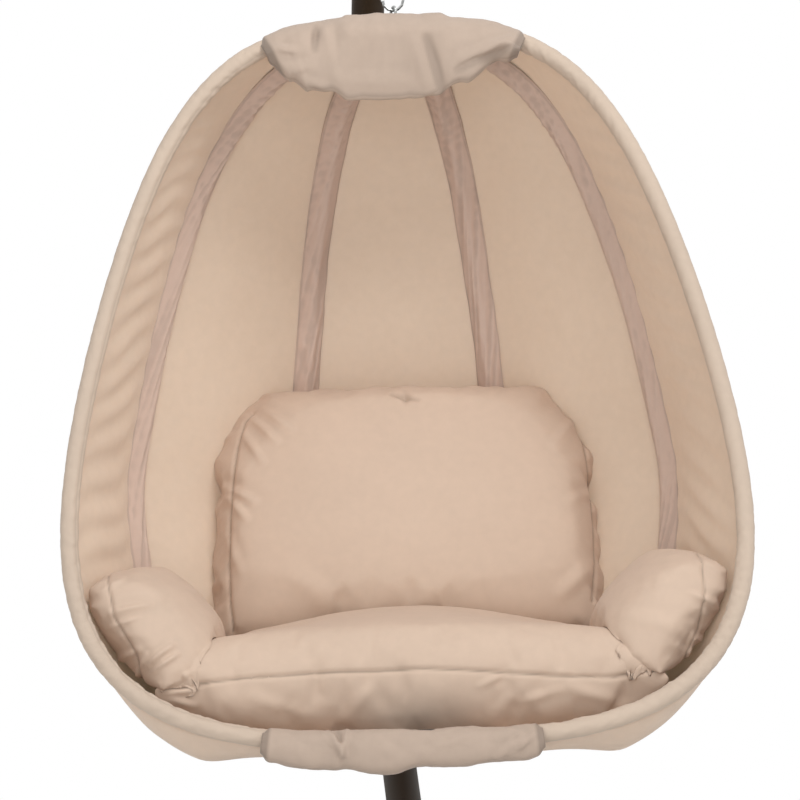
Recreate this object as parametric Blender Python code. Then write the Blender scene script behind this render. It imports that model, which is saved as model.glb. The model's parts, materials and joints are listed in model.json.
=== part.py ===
"""Hanging lounge chair with its stand.

A fabric shell on six bent bows hangs by a short chain from a C-shaped pole on a round base.
The stand is built in its own frame, turned a little about Z, and the chair in a frame that leans
forward about X, so that its weight hangs straight under the hook.  Metres, +Z up, front towards -Y.
"""
import math

import bmesh
import bpy
import numpy
from mathutils import Matrix, Vector
from mathutils.bvhtree import BVHTree

# Sizes in metres, angles in degrees.
GAP = 0.0004                # left between two pieces that touch

# Base ring and what stands on it
RING_RADIUS = 0.570         # centre line of the base ring
RING_TUBE = 0.042           # outside diameter of the ring
RING_WALL = 0.0020
RING_SIDES = 10
RING_STEPS = 12             # straight facets in a half ring
COUPLER_LENGTH = 0.120      # inner sleeve that joins the two half rings
GLIDE_COUNT = 4
GLIDE_HEIGHT = 0.012        # floor to the underside of the ring
GLIDE_DIAMETER = 0.036
GLIDE_LIP = 0.008           # how far a glide reaches up the tube
CROSSBAR_FORWARD = 0.300    # crossbar in front of the ring's centre
CROSSBAR_TUBE = 0.038       # slimmer than the ring, which it is coped to
SADDLE_THICKNESS = 0.004    # least thickness between the ring and the pole
SADDLE_WIDTH = 0.052
SADDLE_LENGTH = 0.046

# Pole: a straight foot, a wide bow, a straight neck, a tight bow and the arm's tip
POLE_TUBE = 0.060
POLE_WALL = 0.0020
POLE_SIDES = 12
POLE_BOW_RADIUS = 0.900
POLE_BOW_TURN = 95.0
NECK_LENGTH = 0.388
NECK_RADIUS = 0.497
NECK_TURN = 85.0
ARM_TAIL = 0.030            # straight arm behind the hook
ARM_TIP = 0.045             # and past it
POLE_SPLIT_FACET = 9        # the two pole pieces meet half way along this facet of the wide bow
POLE_COUPLER_LENGTH = 0.130
PATH_STEP = 8.6             # bend at each corner of a bent tube, at most
STAND_YAW = 4.2
CAP_FLANGE = 0.003
CAP_DEPTH = 0.010

# Bolts and screws
BOLT_DIAMETER = 0.008
NUT_WIDTH = 0.013
NUT_HEIGHT = 0.0065
HEAD_DIAMETER = 0.016
HEAD_HEIGHT = 0.0045
SCREW_LENGTH = 0.014
SCREW_SPACING = 0.035       # screw to the joint that it holds

# Hanging hardware, from the arm down
EYE_RADIUS = 0.016          # centre line of the arm's eye
EYE_WIRE = 0.008
EYE_FLANGE = 0.003          # collar under an eye, and the washer
SWIVEL_RADIUS = 0.0135      # centre line of the swivel's two loops
SWIVEL_WIRE = 0.007
SWIVEL_HEIGHT = 0.022
SWIVEL_DIAMETER = 0.024
SWIVEL_WALL = 0.004
STEM_DIAMETER = 0.010
STEM_HEAD = 0.005
LINK_LENGTH = 0.055         # centre line of a chain link, end to end
LINK_WIDTH = 0.024          # centre line, side to side
LINK_WIRE = 0.006
HOOK_LENGTH = 0.066         # centre line of the snap hook
HOOK_WIDTH = 0.034
HOOK_WIRE = 0.005
GATE_LENGTH = 0.024
GATE_WIRE = 0.0042
GATE_PIN = 0.0016
GATE_KNUCKLE = 0.0056
HUB_EYE_RADIUS = 0.0115     # centre line of the chair's own eye
HUB_EYE_WIRE = 0.005
HUB_EYE_TWIST = 20.0        # the chair's eye seen a little off edge-on
WIRE_SIDES = 6

# Chair frame: six bows between a top hub and a bottom hub
CHAIR_LEAN = 16.30          # the shell's axis from the vertical
SHELL_LENGTH = 1.180        # centre of the top hub to centre of the bottom hub
EGG_MIDDLE = 0.5025         # half width at half height
EGG_TAPER = -0.1287         # narrower towards the top
EGG_FULLNESS = 0.0800       # fuller at both ends
EGG_FLATNESS = 1.0 / 3.0    # less than a half flattens the two ends
RIB_SPREAD = 1.05           # ribs stand this much further out than the rim
RIB_TUCK = 0.12             # and are drawn in by this much behind the seat
RIB_TUCK_START = 0.55       # from this share of the shell's length down
RIB_ANGLES = (-90.0, -56.0, -19.0, 19.0, 56.0, 90.0)
BOW_TUBE = 0.022
BOW_WALL = 0.0015
BOW_SIDES = 8
BOW_STEPS = 10
HUB_RADIUS = 0.075
HUB_HALF_HEIGHT = 0.016
HUB_FRONT = 0.0156          # hub in front of the rim's plane
HUB_RECESS_RADIUS = 0.022
HUB_RECESS_DEPTH = 0.009
SOCKET_INNER_RADIUS = 0.038
SLEEVE_START_RADIUS = 0.080

# Fabric
CLOTH = 0.0020              # thickness of the shell and the sleeves
RIM_SLEEVE = 0.029          # outside diameter of the padded rim sleeve
SHELL_WRAP = 50.0           # the shell's edge sits this far round the rim sleeve
RIB_SLEEVE_HALF = 0.023     # half width of the strip that covers a rib
PANEL_DROP = 19.0           # a panel falls away from its rib by this much
STRIP_DROP = 23.0           # a strip's flange by a little more
PANEL_COLUMNS = 3
HEAD_PAD_WIDTH = 0.430
PAD_EASE = 0.003            # pads stand off the hubs, where the rim falls away beside them
FRONT_PAD_WIDTH = 0.440

# Cushions, in chair coordinates: size across and along, side band, crown above and below
SEAT_SIZE = (0.840, 0.460)
SEAT_BAND = 0.105
SEAT_CROWN = (0.046, 0.030)
SEAT_CENTRE = Vector((0, 0.262, -1.028))
BACK_SIZE = (0.670, 0.480)
BACK_BAND = 0.060
BACK_CROWN = (0.058, 0.045)
BACK_CENTRE = Vector((0, 0.385, -0.755))
BACK_TILT = 62.0            # from lying flat
ARM_SIZE = (0.310, 0.270)
ARM_BAND = 0.040
ARM_CROWN = (0.066, 0.066)
ARM_CENTRE = Vector((0.408, 0.150, -0.985))
ARM_LEAN = 48.0
CUSHION_DRAW_IN = 0.05      # sides drawn in between the corners
CUSHION_LIFT = 0.020        # how far a cushion is lifted before it settles on the strips
CUSHION_FRONT = 0.020       # seat and arm pillows start behind the rim sleeve
SEAT_BACK_PLANE = (Vector((0, 0.300, -0.938)), Vector((0, 0.34, 0.94)).normalized())
SEAT_ARM_PLANE = (Vector((0.345, 0.150, -1.020)), Vector((0.62, -0.10, 0.78)).normalized())

FABRIC = ((0.61, 0.47, 0.36), 0.9, 0.0)
FABRIC_DARK = ((0.47, 0.35, 0.28), 0.9, 0.0)
COATED_STEEL = ((0.050, 0.040, 0.028), 0.4, 0.4)
ZINC = ((0.55, 0.55, 0.56), 0.35, 0.9)
BLACK_PLASTIC = ((0.02, 0.02, 0.02), 0.6, 0.0)


# Scene and object helpers

def clear_scene():
    for old in list(bpy.data.objects):
        bpy.data.objects.remove(old, do_unlink=True)


def make_material(name, finish):
    colour, roughness, metallic = finish
    material = bpy.data.materials.new(name)
    material.use_nodes = True
    shader = material.node_tree.nodes["Principled BSDF"]
    shader.inputs["Base Color"].default_value = (*colour, 1.0)
    shader.inputs["Roughness"].default_value = roughness
    shader.inputs["Metallic"].default_value = metallic
    return material


def make_empty(name, parent=None, location=(0, 0, 0), turn=(0, 0, 0)):
    empty = bpy.data.objects.new(name, None)
    empty.parent = parent
    empty.location = location
    empty.rotation_euler = [math.radians(angle) for angle in turn]
    bpy.context.scene.collection.objects.link(empty)
    return empty


def add_object(name, bm, parent, finish=None):
    """Turn a closed bmesh into a named object; with no finish it is a hidden cutter."""
    bmesh.ops.recalc_face_normals(bm, faces=bm.faces)
    mesh = bpy.data.meshes.new(name)
    bm.to_mesh(mesh)
    bm.free()
    return add_copy(name, mesh, parent, finish)


def add_copy(name, mesh, parent, finish=None):
    made = bpy.data.objects.new(name, mesh)
    made.parent = parent
    bpy.context.scene.collection.objects.link(made)
    if finish is None:
        made.hide_render = True
        made.display_type = "WIRE"
    else:
        if not mesh.materials:
            mesh.materials.append(make_material(name, finish))
        mesh.shade_smooth()
        mesh.set_sharp_from_angle(angle=math.radians(40))
    return made


def boolean(target, tool, operation="DIFFERENCE"):
    modifier = target.modifiers.new(operation.lower(), "BOOLEAN")
    modifier.operation = operation
    modifier.object = tool


# Shape helpers

def skin(bm, rings, closed=False):
    """Cover a row of point rings with quads; a closed row has no caps."""
    loops = [[bm.verts.new(point) for point in ring] for ring in rings]
    pairs = list(zip(loops, loops[1:]))
    if closed:
        pairs.append((loops[-1], loops[0]))
    else:
        bm.faces.new(loops[0])
        bm.faces.new(loops[-1])
    for first, second in pairs:
        for i in range(len(first)):
            j = (i + 1) % len(first)
            bm.faces.new((first[i], first[j], second[j], second[i]))
    return bm


def path_frames(path, normal, closed=False):
    """Each point of a flat path with its sideways vector, lengthened at a bend to keep the width."""
    frames = []
    count = len(path)
    for i, point in enumerate(path):
        before = path[i - 1] if closed or i > 0 else None
        after = path[(i + 1) % count] if closed or i < count - 1 else None
        legs = []
        if before is not None:
            legs.append((point - before).normalized())
        if after is not None:
            legs.append((after - point).normalized())
        tangent = sum(legs, Vector()).normalized()
        side = normal.cross(tangent)
        frames.append((point, side / tangent.dot(legs[0])))
    return frames


def circle(radius, sides):
    angles = [2 * math.pi * (i + 0.5) / sides for i in range(sides)]
    return [(radius * math.cos(angle), radius * math.sin(angle)) for angle in angles]


def sweep(path, normal, profile, closed=False):
    """Rings of a profile, given as (sideways, along the normal), set along a flat path."""
    return [[point + side * a + normal * b for a, b in profile]
            for point, side in path_frames(path, normal, closed)]


def rod(bm, path, normal, diameter, sides, closed=False):
    return skin(bm, sweep(path, normal, circle(diameter / 2, sides), closed), closed)


def pipe(bm, path, normal, diameter, wall, sides):
    """A hollow tube along a flat path, open at both ends."""
    outer = sweep(path, normal, circle(diameter / 2, sides))
    inner = sweep(path, normal, circle(diameter / 2 - wall, sides))
    return skin(bm, outer + inner[::-1], closed=True)


def arc(centre, radius, start, end, axis_a, axis_b, steps):
    """Points on an arc from one angle to another, in the plane of two unit vectors."""
    points = []
    for i in range(steps + 1):
        angle = math.radians(start + (end - start) * i / steps)
        points.append(centre + axis_a * (radius * math.cos(angle)) + axis_b * (radius * math.sin(angle)))
    return points


def turned(bm, outline, sides, matrix=Matrix()):
    """Spin an outline of (radius, height) points, open at the axis or closed on itself, about Z."""
    closed = outline[0][0] > 0
    points = [Vector((r, 0, z)) for r, z in outline]
    made = []
    for i in range(sides):
        spin = Matrix.Rotation(2 * math.pi * i / sides, 3, "Z")
        made.append([bm.verts.new(matrix @ (spin @ p)) if p.x > 0 else None for p in points])
    poles = {k: bm.verts.new(matrix @ p) for k, p in enumerate(points) if p.x == 0}
    last = len(points) if closed else len(points) - 1
    for i in range(sides):
        a, b = made[i], made[(i + 1) % sides]
        for k in range(last):
            m = (k + 1) % len(points)
            corners = [poles.get(k, a[k]), poles.get(m, a[m]), poles.get(m, b[m]), poles.get(k, b[k])]
            bm.faces.new(list(dict.fromkeys(corners)))
    return bm


def box(bm, low, high):
    middle = (Vector(low) + Vector(high)) / 2
    size = Vector(high) - Vector(low)
    bmesh.ops.create_cube(bm, size=1, matrix=Matrix.Translation(middle) @ Matrix.Diagonal((*size, 1)))
    return bm


def cylinder(bm, centre, diameter, length, sides, turn=Matrix()):
    bmesh.ops.create_cone(bm, cap_ends=True, segments=sides, radius1=diameter / 2, radius2=diameter / 2,
                          depth=length, matrix=Matrix.Translation(centre) @ turn)
    return bm


X, Y, Z = Vector((1, 0, 0)), Vector((0, 1, 0)), Vector((0, 0, 1))


# Stand

RING_HEIGHT = GLIDE_HEIGHT + RING_TUBE / 2
RING_TOP = GLIDE_HEIGHT + RING_TUBE
FOOT_HEIGHT = RING_TOP + SADDLE_THICKNESS + POLE_TUBE / 2
FOOT_TIP = RING_RADIUS + RING_TUBE / 2 - CAP_FLANGE - GAP
JOINT_RADIUS = RING_RADIUS * math.cos(math.pi / 2 / RING_STEPS)   # the half rings meet on a straight facet
HOLE = BOLT_DIAMETER + 2 * GAP


def pole_path():
    """The pole's centre line from the foot up, in the plane x = 0 of the stand, with the hook at y = 0."""
    bow, neck = math.radians(POLE_BOW_TURN), math.radians(POLE_BOW_TURN + NECK_TURN)
    reach = (POLE_BOW_RADIUS * math.sin(bow) + NECK_LENGTH * math.cos(bow)
             + NECK_RADIUS * (math.sin(neck) - math.sin(bow)) + ARM_TAIL * math.cos(neck))
    path = [Vector((0, -FOOT_TIP, FOOT_HEIGHT))]

    def bend(start, radius, first, last):
        steps = math.ceil(math.degrees(last - first) / PATH_STEP)
        for i in range(steps + 1):
            turn = first + (last - first) * i / steps
            step = Vector((0, math.sin(turn) - math.sin(first), math.cos(first) - math.cos(turn)))
            path.append(start + step * radius)

    bend(Vector((0, -reach, FOOT_HEIGHT)), POLE_BOW_RADIUS, 0.0, bow)
    bend(path[-1] + Vector((0, math.cos(bow), math.sin(bow))) * NECK_LENGTH, NECK_RADIUS, bow, neck)
    path.append(path[-1] + Vector((0, math.cos(neck), math.sin(neck))) * (ARM_TAIL + ARM_TIP))
    return path


POLE = pole_path()
POLE_FLAT = POLE_TUBE / 2 * math.cos(math.pi / POLE_SIDES)
ARM_HEIGHT = POLE[-1].z


def pole_over(forward):
    """Height of the pole's centre line over a point in front of the ring's centre, and its slope there."""
    for low, high in zip(POLE, POLE[1:]):
        if low.y <= -forward <= high.y:
            slope = (high.z - low.z) / (high.y - low.y)
            return low.z + (-forward - low.y) * slope, slope
    return FOOT_HEIGHT, 0.0


def build_base(stand):
    """Two half rings on glides, joined by inner couplers, with a crossbar under the pole."""
    level = Z * RING_HEIGHT
    half = 90 / RING_STEPS
    half_rings, couplers = [], []
    inside = RING_TUBE - 2 * RING_WALL - 4 * GAP
    for side, start in ((1, 0), (-1, 180)):
        name = "base_ring_back" if side > 0 else "base_ring_front"
        corners = arc(level, RING_RADIUS, start + half, start + 180 - half, X, Y, RING_STEPS - 1)
        ends = [level + X * (end * JOINT_RADIUS) + Y * (side * GAP / 2) for end in (side, -side)]
        bm = pipe(bmesh.new(), [ends[0]] + corners + [ends[1]], Z, RING_TUBE, RING_WALL, RING_SIDES)
        half_rings.append(add_object(name, bm, stand, COATED_STEEL))

        name = "ring_coupler_right" if side > 0 else "ring_coupler_left"
        path = [level + X * (side * JOINT_RADIUS) + Y * (end * COUPLER_LENGTH / 2) for end in (-1, 1)]
        bm = pipe(bmesh.new(), path, Z, inside, RING_WALL, RING_SIDES)
        couplers.append(add_object(name, bm, stand, ZINC))

    path = arc(level, RING_RADIUS, half, half + 360, X, Y, 2 * RING_STEPS)[:-1]
    bm = rod(bmesh.new(), path, Z, RING_TUBE + 2 * GAP, RING_SIDES, closed=True)
    ring_space = add_object("ring_space", bm, stand)

    reach = math.sqrt(RING_RADIUS ** 2 - CROSSBAR_FORWARD ** 2)
    ends = [Vector((side * reach, -CROSSBAR_FORWARD, RING_HEIGHT)) for side in (-1, 1)]
    crossbar = add_object("base_crossbar", pipe(bmesh.new(), ends, Z, CROSSBAR_TUBE, RING_WALL, RING_SIDES),
                          stand, COATED_STEEL)
    boolean(crossbar, ring_space)
    # What the coping leaves outside the ring is cut off with a block past the ring's centre line
    for side in (-1, 1):
        near, far = sorted((side * reach, side * 2 * reach))
        low = (near, -CROSSBAR_FORWARD - RING_TUBE, 0)
        high = (far, -CROSSBAR_FORWARD + RING_TUBE, RING_TOP + RING_TUBE)
        boolean(crossbar, add_object("crossbar_end", box(bmesh.new(), low, high), stand))

    for i in range(GLIDE_COUNT):
        angle = 2 * math.pi * (i + 0.5) / GLIDE_COUNT
        place = Vector((math.cos(angle), math.sin(angle), 0)) * RING_RADIUS
        height = GLIDE_HEIGHT + GLIDE_LIP
        bm = cylinder(bmesh.new(), place + Z * height / 2, GLIDE_DIAMETER, height, 12)
        glide = add_object(f"floor_glide_{i + 1}", bm, stand, BLACK_PLASTIC)
        boolean(glide, ring_space)
    return half_rings, couplers, crossbar, ring_space


def build_pole(stand):
    """Lower and upper pole, the sleeve inside their joint and a plug in each open end."""
    low, high = POLE[POLE_SPLIT_FACET], POLE[POLE_SPLIT_FACET + 1]
    joint, along = (low + high) / 2, (high - low).normalized()
    lower = POLE[:POLE_SPLIT_FACET + 1] + [joint - along * GAP / 2]
    upper = [joint + along * GAP / 2] + POLE[POLE_SPLIT_FACET + 1:]
    pieces = []
    for name, path in (("pole_lower", lower), ("pole_upper", upper)):
        bm = pipe(bmesh.new(), path, X, POLE_TUBE, POLE_WALL, POLE_SIDES)
        pieces.append(add_object(name, bm, stand, COATED_STEEL))

    path = [joint + along * (end * POLE_COUPLER_LENGTH / 2) for end in (-1, 1)]
    inside = POLE_TUBE - 2 * POLE_WALL - 4 * GAP
    bm = pipe(bmesh.new(), path, X, inside, POLE_WALL, POLE_SIDES)
    pieces.append(add_object("pole_coupler", bm, stand, ZINC))

    plug = (POLE_TUBE / 2 - POLE_WALL - GAP) * math.cos(math.pi / POLE_SIDES)
    outline = [(0, CAP_FLANGE + GAP), (POLE_TUBE / 2, CAP_FLANGE + GAP), (POLE_TUBE / 2, GAP), (plug, GAP),
               (plug, -CAP_DEPTH), (0, -CAP_DEPTH)]
    for name, end in (("pole_cap_foot", POLE[0]), ("pole_cap_arm", POLE[-1])):
        cap = add_object(name, turned(bmesh.new(), outline, POLE_SIDES), stand, BLACK_PLASTIC)
        cap.location = end
        cap.rotation_euler.x = math.pi / 2

    pole_space = add_object("pole_space", rod(bmesh.new(), POLE, X, POLE_TUBE + 2 * GAP, POLE_SIDES), stand)
    return pieces, pole_space, (joint, along)


def build_saddles(stand, pole_space, ring_space):
    """Blocks that seat the pole on the ring in front and on the crossbar behind."""
    saddles = []
    bar = [Vector((side * RING_RADIUS, -CROSSBAR_FORWARD, RING_HEIGHT)) for side in (-1, 1)]
    bm = rod(bmesh.new(), bar, Z, CROSSBAR_TUBE + 2 * GAP, RING_SIDES)
    bar_space = add_object("bar_space", bm, stand)
    for name, forward, under in (("foot_saddle", RING_RADIUS, ring_space),
                                 ("crossbar_saddle", CROSSBAR_FORWARD, bar_space)):
        centre, slope = pole_over(forward)
        length = min(SADDLE_LENGTH, 2 * (FOOT_TIP - forward)) if under is ring_space else SADDLE_LENGTH
        low = (-SADDLE_WIDTH / 2, -forward - length / 2, RING_TOP - RING_TUBE / 4)
        high = (SADDLE_WIDTH / 2, -forward + length / 2, centre - POLE_TUBE / 6)
        saddle = add_object(name, box(bmesh.new(), low, high), stand, COATED_STEEL)
        boolean(saddle, under)
        boolean(saddle, pole_space)
        saddles.append(saddle)
    return saddles


def bolt_outline(length):
    """A domed head over a shank that hangs down from z = 0."""
    head, shank = HEAD_DIAMETER / 2, BOLT_DIAMETER / 2
    return [(0, HEAD_HEIGHT), (head * 0.6, HEAD_HEIGHT * 0.8), (head, 0),
            (shank, 0), (shank, -length), (0, -length)]


def add_bolt(name, stand, seat, length, direction):
    """A bolt whose head rests at a seat; its shank points along a direction."""
    bolt = add_object(name, turned(bmesh.new(), bolt_outline(length), 8), stand, ZINC)
    bolt.location = seat - direction * GAP
    bolt.rotation_mode = "QUATERNION"
    bolt.rotation_quaternion = (-direction).to_track_quat("Z", "Y")
    hole = add_object(f"{name}_hole", cylinder(bmesh.new(), Vector(), HOLE, 2 * length, 8), stand)
    hole.location = seat
    hole.rotation_mode = "QUATERNION"
    hole.rotation_quaternion = bolt.rotation_quaternion
    return hole


def add_nut(name, parent, top):
    """A hexagon nut under a flat seat; the flats of its hole clear the thread."""
    flats = math.cos(math.pi / 6)
    outer, inner = NUT_WIDTH / 2 / flats, HOLE / 2 / flats
    outline = [(outer, 0), (outer, -NUT_HEIGHT), (inner, -NUT_HEIGHT), (inner, 0)]
    nut = add_object(name, turned(bmesh.new(), outline, 6), parent, ZINC)
    nut.location = top


def build_fasteners(stand, half_rings, couplers, crossbar, pole, pole_joint, saddles):
    """Two long bolts hold the pole down; short screws lock the tube joints."""
    lower, upper, coupler = pole
    back, front = half_rings
    held = (("foot", RING_RADIUS, front, RING_TUBE, saddles[0]),
            ("saddle", CROSSBAR_FORWARD, crossbar, CROSSBAR_TUBE, saddles[1]))
    for name, forward, tube, width, saddle in held:
        centre, slope = pole_over(forward)
        rise = POLE_FLAT * math.hypot(1, slope) + HEAD_DIAMETER / 2 * slope
        seat = Vector((0, -forward, centre + rise))
        under = RING_HEIGHT - width / 2 - GAP
        length = seat.z - under + NUT_HEIGHT + (GLIDE_HEIGHT - NUT_HEIGHT) / 3
        hole = add_bolt(f"{name}_bolt", stand, seat, length, -Z)
        for target in (lower, saddle, tube):
            boolean(target, hole)
        add_nut(f"{name}_nut", stand, Vector((0, -forward, under)))

    for name, side, coupler_here in (("right", 1, couplers[0]), ("left", -1, couplers[1])):
        for place, tube, offset in (("back", back, SCREW_SPACING), ("front", front, -SCREW_SPACING)):
            seat = Vector((side * JOINT_RADIUS, offset, RING_TOP))
            hole = add_bolt(f"ring_screw_{name}_{place}", stand, seat, SCREW_LENGTH, -Z)
            boolean(tube, hole)
            boolean(coupler_here, hole)

    joint, along = pole_joint
    outward = along.cross(X)
    for place, offset, tube in (("low", -SCREW_SPACING, lower), ("high", SCREW_SPACING, upper)):
        seat = joint + along * offset + outward * POLE_FLAT
        hole = add_bolt(f"pole_screw_{place}", stand, seat, SCREW_LENGTH, -outward)
        boolean(tube, hole)
        boolean(coupler, hole)


# Hanging hardware: heights of the wire centres, from the arm down to the chair's eye

EYE_CENTRE = ARM_HEIGHT - POLE_FLAT - GAP - EYE_FLANGE - EYE_RADIUS - EYE_WIRE / 4
EYE_LOW = EYE_CENTRE - EYE_RADIUS
SWIVEL_TOP = EYE_LOW + (EYE_WIRE + SWIVEL_WIRE) / 2 + GAP
HOUSING_TOP = SWIVEL_TOP - 2 * SWIVEL_RADIUS + SWIVEL_WIRE / 4
HOUSING_LOW = HOUSING_TOP - SWIVEL_HEIGHT
LOWER_LOOP_TOP = HOUSING_LOW - GAP - SWIVEL_WIRE / 2
LOWER_LOOP_LOW = LOWER_LOOP_TOP - 2 * SWIVEL_RADIUS
LINK_1_TOP = LOWER_LOOP_LOW + (SWIVEL_WIRE + LINK_WIRE) / 2 + GAP
LINK_2_TOP = LINK_1_TOP - LINK_LENGTH + LINK_WIRE + GAP
LINK_3_TOP = LINK_2_TOP - LINK_LENGTH + LINK_WIRE + GAP
HOOK_TOP = LINK_3_TOP - LINK_LENGTH + (LINK_WIRE + HOOK_WIRE) / 2 + GAP
HOOK_LOW = HOOK_TOP - HOOK_LENGTH


def loop_path(top, length, width, across, steps=6):
    """A stadium or circle that hangs down from a wire centre, in the plane of Z and one more axis."""
    radius = width / 2
    high, low = Z * (top - radius), Z * (top - length + radius)
    points = arc(high, radius, 0, 180, across, Z, steps) + arc(low, radius, 180, 360, across, Z, steps)
    return [p for i, p in enumerate(points) if (p - points[i - 1]).length > GAP]


def ring_of_wire(bm, top, radius, wire, across, normal):
    return rod(bm, loop_path(top, 2 * radius, 2 * radius, across), normal, wire, WIRE_SIDES, closed=True)


def build_arm_eye(stand, arm):
    """An eye bolt through the arm, with its nut and washer on top."""
    seat = ARM_HEIGHT - POLE_FLAT - GAP
    top = ARM_HEIGHT + POLE_FLAT + GAP + EYE_FLANGE + GAP + NUT_HEIGHT
    outline = [(0, top + GAP), (BOLT_DIAMETER / 2, top + GAP), (BOLT_DIAMETER / 2, seat), (EYE_WIRE, seat),
               (EYE_WIRE, seat - EYE_FLANGE), (0, seat - EYE_FLANGE)]
    eye = add_object("arm_eye_bolt", turned(bmesh.new(), outline, 10), stand, ZINC)
    loop = ring_of_wire(bmesh.new(), EYE_CENTRE + EYE_RADIUS, EYE_RADIUS, EYE_WIRE, Y, X)
    boolean(eye, add_object("arm_eye_loop", loop, stand), "UNION")
    hole = add_object("arm_eye_hole", cylinder(bmesh.new(), Z * ARM_HEIGHT, HOLE, 2 * POLE_TUBE, 8), stand)
    boolean(arm, hole)
    low = ARM_HEIGHT + POLE_FLAT + GAP
    high, rim = low + EYE_FLANGE, NUT_WIDTH * 0.8
    outline = [(rim, high), (rim, low), (HOLE / 2, low), (HOLE / 2, high)]
    add_object("arm_eye_washer", turned(bmesh.new(), outline, 12), stand, ZINC)
    add_nut("arm_eye_nut", stand, Z * top)


def build_swivel(upper, lower):
    """A housing on the upper loop, and a headed stem that turns inside it over the lower loop."""
    outer, stem_radius = SWIVEL_DIAMETER / 2, STEM_DIAMETER / 2
    bore, shell = stem_radius + GAP, outer - SWIVEL_WALL
    floor, roof = HOUSING_LOW + SWIVEL_WALL, HOUSING_TOP - SWIVEL_WALL
    outline = [(0, HOUSING_TOP), (outer * 2 / 3, HOUSING_TOP), (outer, HOUSING_TOP - SWIVEL_WALL),
               (outer, HOUSING_LOW), (bore, HOUSING_LOW), (bore, floor), (shell, floor),
               (shell, roof), (0, roof)]
    housing = add_object("swivel_housing", turned(bmesh.new(), outline, 12), upper, ZINC)
    loop = add_object("swivel_upper_loop",
                      ring_of_wire(bmesh.new(), SWIVEL_TOP, SWIVEL_RADIUS, SWIVEL_WIRE, X, Y), upper)
    boolean(housing, loop, "UNION")

    head, seat, end = shell - GAP, floor + GAP, LOWER_LOOP_TOP - SWIVEL_WIRE / 3
    outline = [(0, seat + STEM_HEAD), (head, seat + STEM_HEAD), (head, seat),
               (stem_radius, seat), (stem_radius, end), (0, end)]
    stem = add_object("swivel_stem", turned(bmesh.new(), outline, 12), lower, ZINC)
    loop = add_object("swivel_lower_loop",
                      ring_of_wire(bmesh.new(), LOWER_LOOP_TOP, SWIVEL_RADIUS, SWIVEL_WIRE, X, Y), lower)
    boolean(stem, loop, "UNION")


GATE_LINE = -HOOK_WIDTH / 2                                  # the gate closes the hook's left side
GATE_LOW = (HOOK_TOP + HOOK_LOW) / 2 - GATE_LENGTH / 2       # its pin
GATE_HIGH = GATE_LOW + GATE_LENGTH


def build_chain(chain, gate_frame):
    """Three links and a snap hook with a hinged gate."""
    for i, top in enumerate((LINK_1_TOP, LINK_2_TOP, LINK_3_TOP)):
        across, normal = ((Y, X), (X, Y))[i % 2]
        path = loop_path(top, LINK_LENGTH, LINK_WIDTH, across)
        bm = rod(bmesh.new(), path, normal, LINK_WIRE, WIRE_SIDES, True)
        add_object(f"chain_link_{i + 1}", bm, chain, ZINC)

    radius = HOOK_WIDTH / 2
    high, low = Z * (HOOK_TOP - radius), Z * (HOOK_LOW + radius)
    nose = Vector((GATE_LINE, 0, GATE_HIGH + GAP))
    heel = Vector((GATE_LINE, 0, GATE_LOW - GATE_KNUCKLE / 2))
    path = [nose] + arc(high, radius, 180, 0, X, Z, 6) + arc(low, radius, 360, 180, X, Z, 6) + [heel]
    hook = add_object("snap_hook", rod(bmesh.new(), path, Y, HOOK_WIRE, WIRE_SIDES), chain, ZINC)
    # The heel carries two cheeks with the gate's knuckle between them
    cheek = GATE_KNUCKLE
    pin = Vector((GATE_LINE, 0, GATE_LOW))
    low, high = Vector((cheek / 2, cheek, cheek)), Vector((cheek / 2, cheek, cheek / 2))
    block = box(bmesh.new(), pin - low, pin + high)
    boolean(hook, add_object("hook_cheeks", block, chain), "UNION")
    half = GATE_WIRE / 2 + GAP
    depth = math.hypot(GATE_WIRE, cheek) / 2 + GAP           # the knuckle's corners swing below its pin
    low, high = Vector((cheek, half, depth)), Vector((cheek, half, cheek))
    slot = box(bmesh.new(), pin - low, pin + high)
    boolean(hook, add_object("hook_slot", slot, chain))
    along_y = Matrix.Rotation(math.pi / 2, 4, "X")
    pin_hole = cylinder(bmesh.new(), pin, GATE_PIN + 2 * GAP, 4 * cheek, 8, along_y)
    pin_hole = add_object("hook_pin_hole", pin_hole, chain)
    boolean(hook, pin_hole)
    add_object("gate_pin", cylinder(bmesh.new(), pin, GATE_PIN, 2 * cheek, 8, along_y), chain, ZINC)

    square = GATE_WIRE / 2
    body = box(bmesh.new(), (-square, -square, -cheek / 2), (square, square, GATE_LENGTH - GAP))
    upright = [e for e in body.edges if abs(e.verts[0].co.z - e.verts[1].co.z) > GATE_WIRE]
    bmesh.ops.bevel(body, geom=upright, offset=GATE_WIRE * 0.28, segments=1, affect="EDGES", profile=0.5)
    gate = add_object("hook_gate", body, gate_frame, ZINC)
    boolean(gate, pin_hole)


# Chair frame, in chair coordinates: x to the right, y back from the rim's plane, z up the shell's axis

LOOP_HEIGHT = HUB_HALF_HEIGHT - HUB_RECESS_DEPTH + EYE_FLANGE + HUB_EYE_RADIUS + HUB_EYE_WIRE / 2 - GAP
LEAN = math.radians(CHAIR_LEAN)
SHELL_AXIS = Vector((0, math.sin(LEAN), math.cos(LEAN)))
HUB_EYE_HANG = HUB_EYE_RADIUS * math.cos(math.pi / 12) - (HUB_EYE_WIRE + HOOK_WIRE) / 2 - 2 * GAP
CHAIR_TOP = Z * (HOOK_LOW - HUB_EYE_HANG) - SHELL_AXIS * LOOP_HEIGHT


def half_width(height):
    """Half width of the rim at a height below the top hub."""
    c = 1 + 2 * height / SHELL_LENGTH
    return max(0.0, 1 - c * c) ** EGG_FLATNESS * (EGG_MIDDLE + EGG_TAPER * c + EGG_FULLNESS * c * c)


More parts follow.
